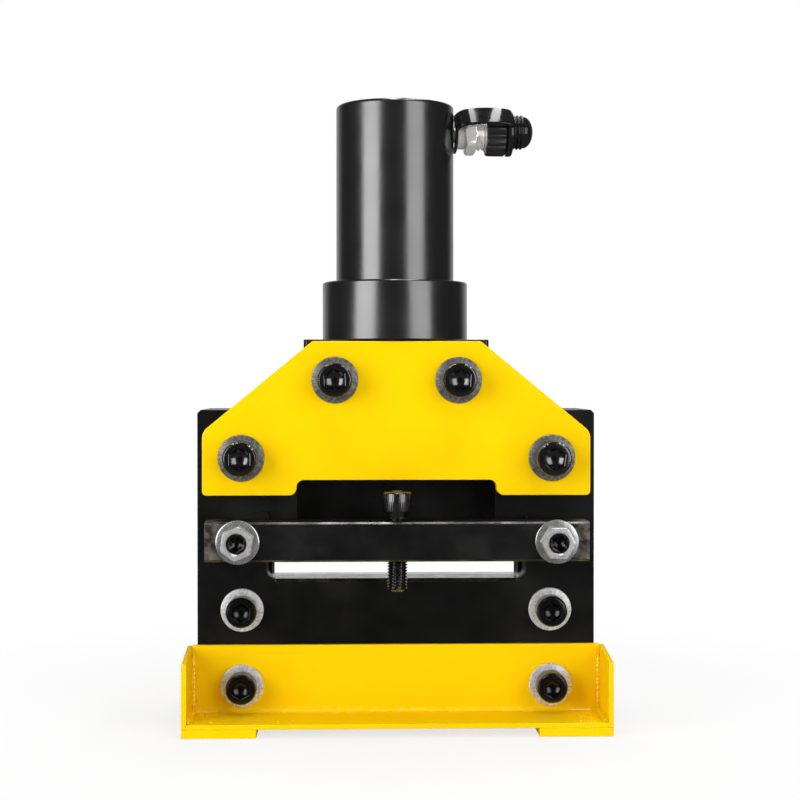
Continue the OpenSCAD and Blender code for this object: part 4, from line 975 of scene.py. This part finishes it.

# %% [markdown]
# ## A strap along a curve
# A flat strap runs from a ring behind the hexagon, over the cap. A curve object could carry it, but a
# strap needs a flat section with rounded corners. Here a smooth path is drawn through a few given points,
# and the section is swept along it.

# %% Helpers for the strap
def smooth_path(spots, steps=10):
    """Points on a curve that passes through all the spots."""
    path = []
    ends = [spots[0]] + spots + [spots[-1]]
    for k in range(1, len(ends) - 2):
        a, b, c, d = (Vector(p) for p in ends[k - 1:k + 3])
        for s in range(steps):
            t = s / steps
            path.append(0.5 * (2 * b + (c - a) * t + (2 * a - 5 * b + 4 * c - d) * t * t
                               + (3 * b - a - 3 * c + d) * t ** 3))
    return path + [Vector(ends[-2])]


def rounded_section(width, thick, r=0.7):
    """Points round a flat section with rounded corners."""
    section = []
    x, y = width / 2 - r, thick / 2 - r
    for cx, cy, start in ((x, y, 0), (-x, y, 90), (-x, -y, 180), (x, -y, 270)):
        for step in range(4):
            a = math.radians(start + 30 * step)
            section.append((cx + r * math.cos(a), cy + r * math.sin(a)))
    return section


def ribbon(spots, width, thick):
    """A flat strap along points (distance from the axis, place on the axis)."""
    path, section = smooth_path(spots), rounded_section(width, thick)
    points, faces = [], []
    for k, spot in enumerate(path):
        ahead = (path[min(k + 1, len(path) - 1)] - path[max(k - 1, 0)]).normalized()
        out = Vector((ahead.y, -ahead.x))
        for across, up in section:
            points.append((spot.x + out.x * up, across, spot.y + out.y * up))
    n = len(section)
    for k in range(len(path) - 1):
        for j in range(n):
            m = (j + 1) % n
            faces.append((k * n + j, k * n + m, (k + 1) * n + m, (k + 1) * n + j))
    faces += [tuple(range(n))[::-1], tuple(range((len(path) - 1) * n, len(path) * n))]
    return points, faces


print("points round the strap:", len(rounded_section(13.2, 2.2)))

# %% [markdown]
# ## The strap and its knob
# The strap ends in a thick ring that holds the cap, with a ridged knob to pull on. In the photograph the
# end and the knob sit a little above the axis, as a soft strap pulls them, so they are raised. The
# knob's ridges are a wave along its length, and the rings of its tip follow a quarter of an oval.

# %% Strap
leaning_forward = 37
strap_turn = Matrix.Rotation(math.radians(-90 - leaning_forward), 4, "Z")
strap_route = [(9.3, 37.6), (11.0, 38.3), (12.8, 39.8), (14.4, 42.2), (15.4, 45.3), (16.0, 49.5),
               (16.4, 54.4), (16.4, 60), (16.0, 66), (15.0, 70.2), (13.4, 71.5), (11.5, 71.8)]
band = ribbon(strap_route, 13.2, 2.2)
piece("strap_band", band, strap_plastic, "strap", ("cap_strap",), coupler @ strap_turn, 50)
ring = [(36.8, 8.3), (36.8, 11.7), (37.0, 12), (38.1, 12), (38.3, 11.7), (38.3, 8.3)]
piece("strap_ring", lathe(ring, 96, closed=True), strap_plastic, "strap", ("cap_strap",), coupler)
end = [(69.5, 9.3), (69.5, 13.7), (69.8, 14.15), (70.3, 14.3), (72.3, 14.3), (72.9, 14.0), (73.2, 13.4),
       (73.2, 1), (72.5, 1), (72.5, 9.3)]
piece("strap_end", lathe(end, 128, closed=True), strap_plastic, "strap", ("cap_strap",), raised(0.9))

knob_start, knob_length, knob_r, ridge, ridge_rings = 73.2, 7.2, 10.7, 0.9, 40
tip_length, tip_r = 6.4, 9.9
knob = [(73.0, 9.8)]
for k in range(ridge_rings):
    t = k / (ridge_rings - 1)
    wave = 0.5 + 0.5 * math.cos(6 * math.pi * t)
    knob.append((knob_start + knob_length * t, knob_r - ridge * wave ** 1.6))
tip_z = knob_start + knob_length
knob += [(tip_z + tip_length * math.sin(math.radians(a)), tip_r * math.cos(math.radians(a)))
         for a in range(8, 90, 8)]
knob += [(86.85, 0.6)]
piece("strap_knob", lathe(knob, 128), strap_plastic, "strap", ("cap_strap",), raised(1.8))
print("coupler, cap and strap are on the cylinder")

# %% [markdown]
# ## Weld beads
# The end plates are welded into the bent trays by hand. A bead is a row of overlapping drops, a little
# uneven, all under the same paint. Separate drops would leave gaps, so one tube is laid along the
# corner, half sunk into both plates, and its radius and centre wobble from ring to ring.

# %% Helper for weld beads
ring_gap, drop_length = 0.45, 2.66


def bead(start, end, radius, lean, sides=12):
    """Points and faces of a bead between two corners; lean shifts it out of the corner."""
    start, end, lean = Vector(start), Vector(end), Vector(lean)
    along = end - start
    count = max(8, round(along.length / ring_gap))
    axis = along.normalized()
    side = lean.normalized()
    other = axis.cross(side)
    points, faces = [], []
    phase = random.uniform(0, 6)
    for k in range(count + 1):
        t = k / count
        drop = abs(math.sin(math.pi * t * along.length / drop_length + phase))
        thinner_at_ends = min(1.0, 5 * min(t, 1 - t) + 0.25)
        r = radius * (0.86 + 0.2 * drop + random.uniform(-0.05, 0.05)) * thinner_at_ends
        centre = start + along * t + lean + Vector([random.uniform(-0.12, 0.12) for _ in range(3)])
        for j in range(sides):
            a = 2 * math.pi * j / sides
            points.append(tuple(centre + side * (r * math.cos(a)) + other * (r * math.sin(a))))
    for k in range(count):
        for j in range(sides):
            m = (j + 1) % sides
            faces.append((k * sides + j, k * sides + m, (k + 1) * sides + m, (k + 1) * sides + j))
    faces += [tuple(range(sides))[::-1], tuple(range(count * sides, (count + 1) * sides))]
    return points, faces


print("a bead has a ring every", ring_gap, "mm and a drop every", drop_length, "mm")

# %% [markdown]
# ## Spatter
# Small drops of molten steel fly off a weld and stick to the plate beside it, and the paint covers them.
# Each is a low dome of four rings, at a random place in the strip beside the bead. A bump texture would
# look flat from the side, and it would not be in the mesh. All drops and beads of a tray are one piece.

# %% Helpers for spatter
smallest, largest = 0.25, 0.7


def spatter(x_range, y_range, z, count, sunk=0.1):
    """Small drops stuck to a level plate."""
    drops = []
    for _ in range(count):
        r = random.uniform(smallest, largest)
        x, y = random.uniform(*x_range), random.uniform(*y_range)
        angles = [math.radians(a) for a in (0, 30, 55, 78)]
        rings = [(r * math.sin(a), r * 1.1 * math.cos(a)) for a in angles]
        points, faces = lathe(rings, 10)
        drops.append(([(px + x, py + y, pz + z - sunk) for px, py, pz in points], faces))
    return drops


def join(shapes):
    """One shape made of many."""
    points, faces = [], []
    for more_points, more_faces in shapes:
        base = len(points)
        points += more_points
        faces += [tuple(base + v for v in face) for face in more_faces]
    return points, faces


print("drops are", smallest, "to", largest, "mm in radius")

# %% [markdown]
# ## The hollow of the bend
# The trays are bent from sheet, and the inside of a bend is a hollow and never a sharp corner. It
# catches a soft line of light along the whole tray, and it is painted in the lighter edge yellow, a
# painted highlight. A strip with a quarter circle for its section fills the corner between floor and wall.

# %% Helper for the bend
bend_sheet = 3
wall_y = plate_y + bend_sheet
floor_z = span("front_base_tray", "z")[0] + bend_sheet
tray_x, tray_edge = span("front_base_tray", "x")[1], span("rear_base_tray", "y")[1]


def bend(side, radius=2.6, sunk=0.2, steps=8):
    """The hollow inside the bend of a tray, from one end plate to the other."""
    points, faces = [], []
    for x in (sunk - tray_x, tray_x - sunk):
        points.append((x, side * (wall_y - sunk), floor_z - sunk))
        for k in range(steps + 1):
            a = math.radians(90 * k / steps)
            from_wall, from_floor = radius * (1 - math.sin(a)), radius * (1 - math.cos(a))
            points.append((x, side * (wall_y + from_wall), floor_z + from_floor))
    count = steps + 2
    for k in range(count):
        n = (k + 1) % count
        faces.append((k, n, count + n, count + k))
    return points, faces


print("the hollow of a bend has", len(bend(1)[0]), "points")

# %% [markdown]
# ## Weld the trays
# Each tray has four beads: one along the floor and one up the wall at both ends. The front one also
# has a patch of spatter to the left, as in the photograph. The random wobble starts from a fixed seed,
# so the welds come out the same each time.

# %% Welds and bends
bead_top, wall_bead, floor_bead, leaning = 42.5, 1.9, 2.1, 0.8
drops_x, drops_y, drops_each = (2, 16), (40, 71), 26
patch_x, patch_y, patch_drops = (-118, -60), (-70, -42), 18
for side, label in ((-1, "front"), (1, "back")):
    # The hollow takes the lighter edge yellow, a painted highlight along the bend.
    piece(f"tray_bend_{label}", bend(side), yellow_edge_painted_highlight, "frame", (), crease=40)
    shapes = []
    for hand in (-1, 1):
        x = hand * tray_x
        shapes.append(bead((x, side * (wall_y + 1), floor_z), (x, side * (tray_edge - 1), floor_z),
                           floor_bead, (-hand * leaning, 0, leaning)))
        shapes.append(bead((x, side * wall_y, floor_z + 1), (x, side * wall_y, bead_top),
                           wall_bead, (-hand * leaning, side * leaning, 0)))
        beside, along = sorted(x - hand * d for d in drops_x), sorted(side * d for d in drops_y)
        shapes += spatter(beside, along, floor_z, drops_each)
    if side < 0:
        shapes += spatter(patch_x, patch_y, floor_z, patch_drops)
    piece(f"weld_beads_{label}", join(shapes), weld_yellow, "frame", (), crease=70)
    print(label, "tray has", len(shapes), "beads and drops")
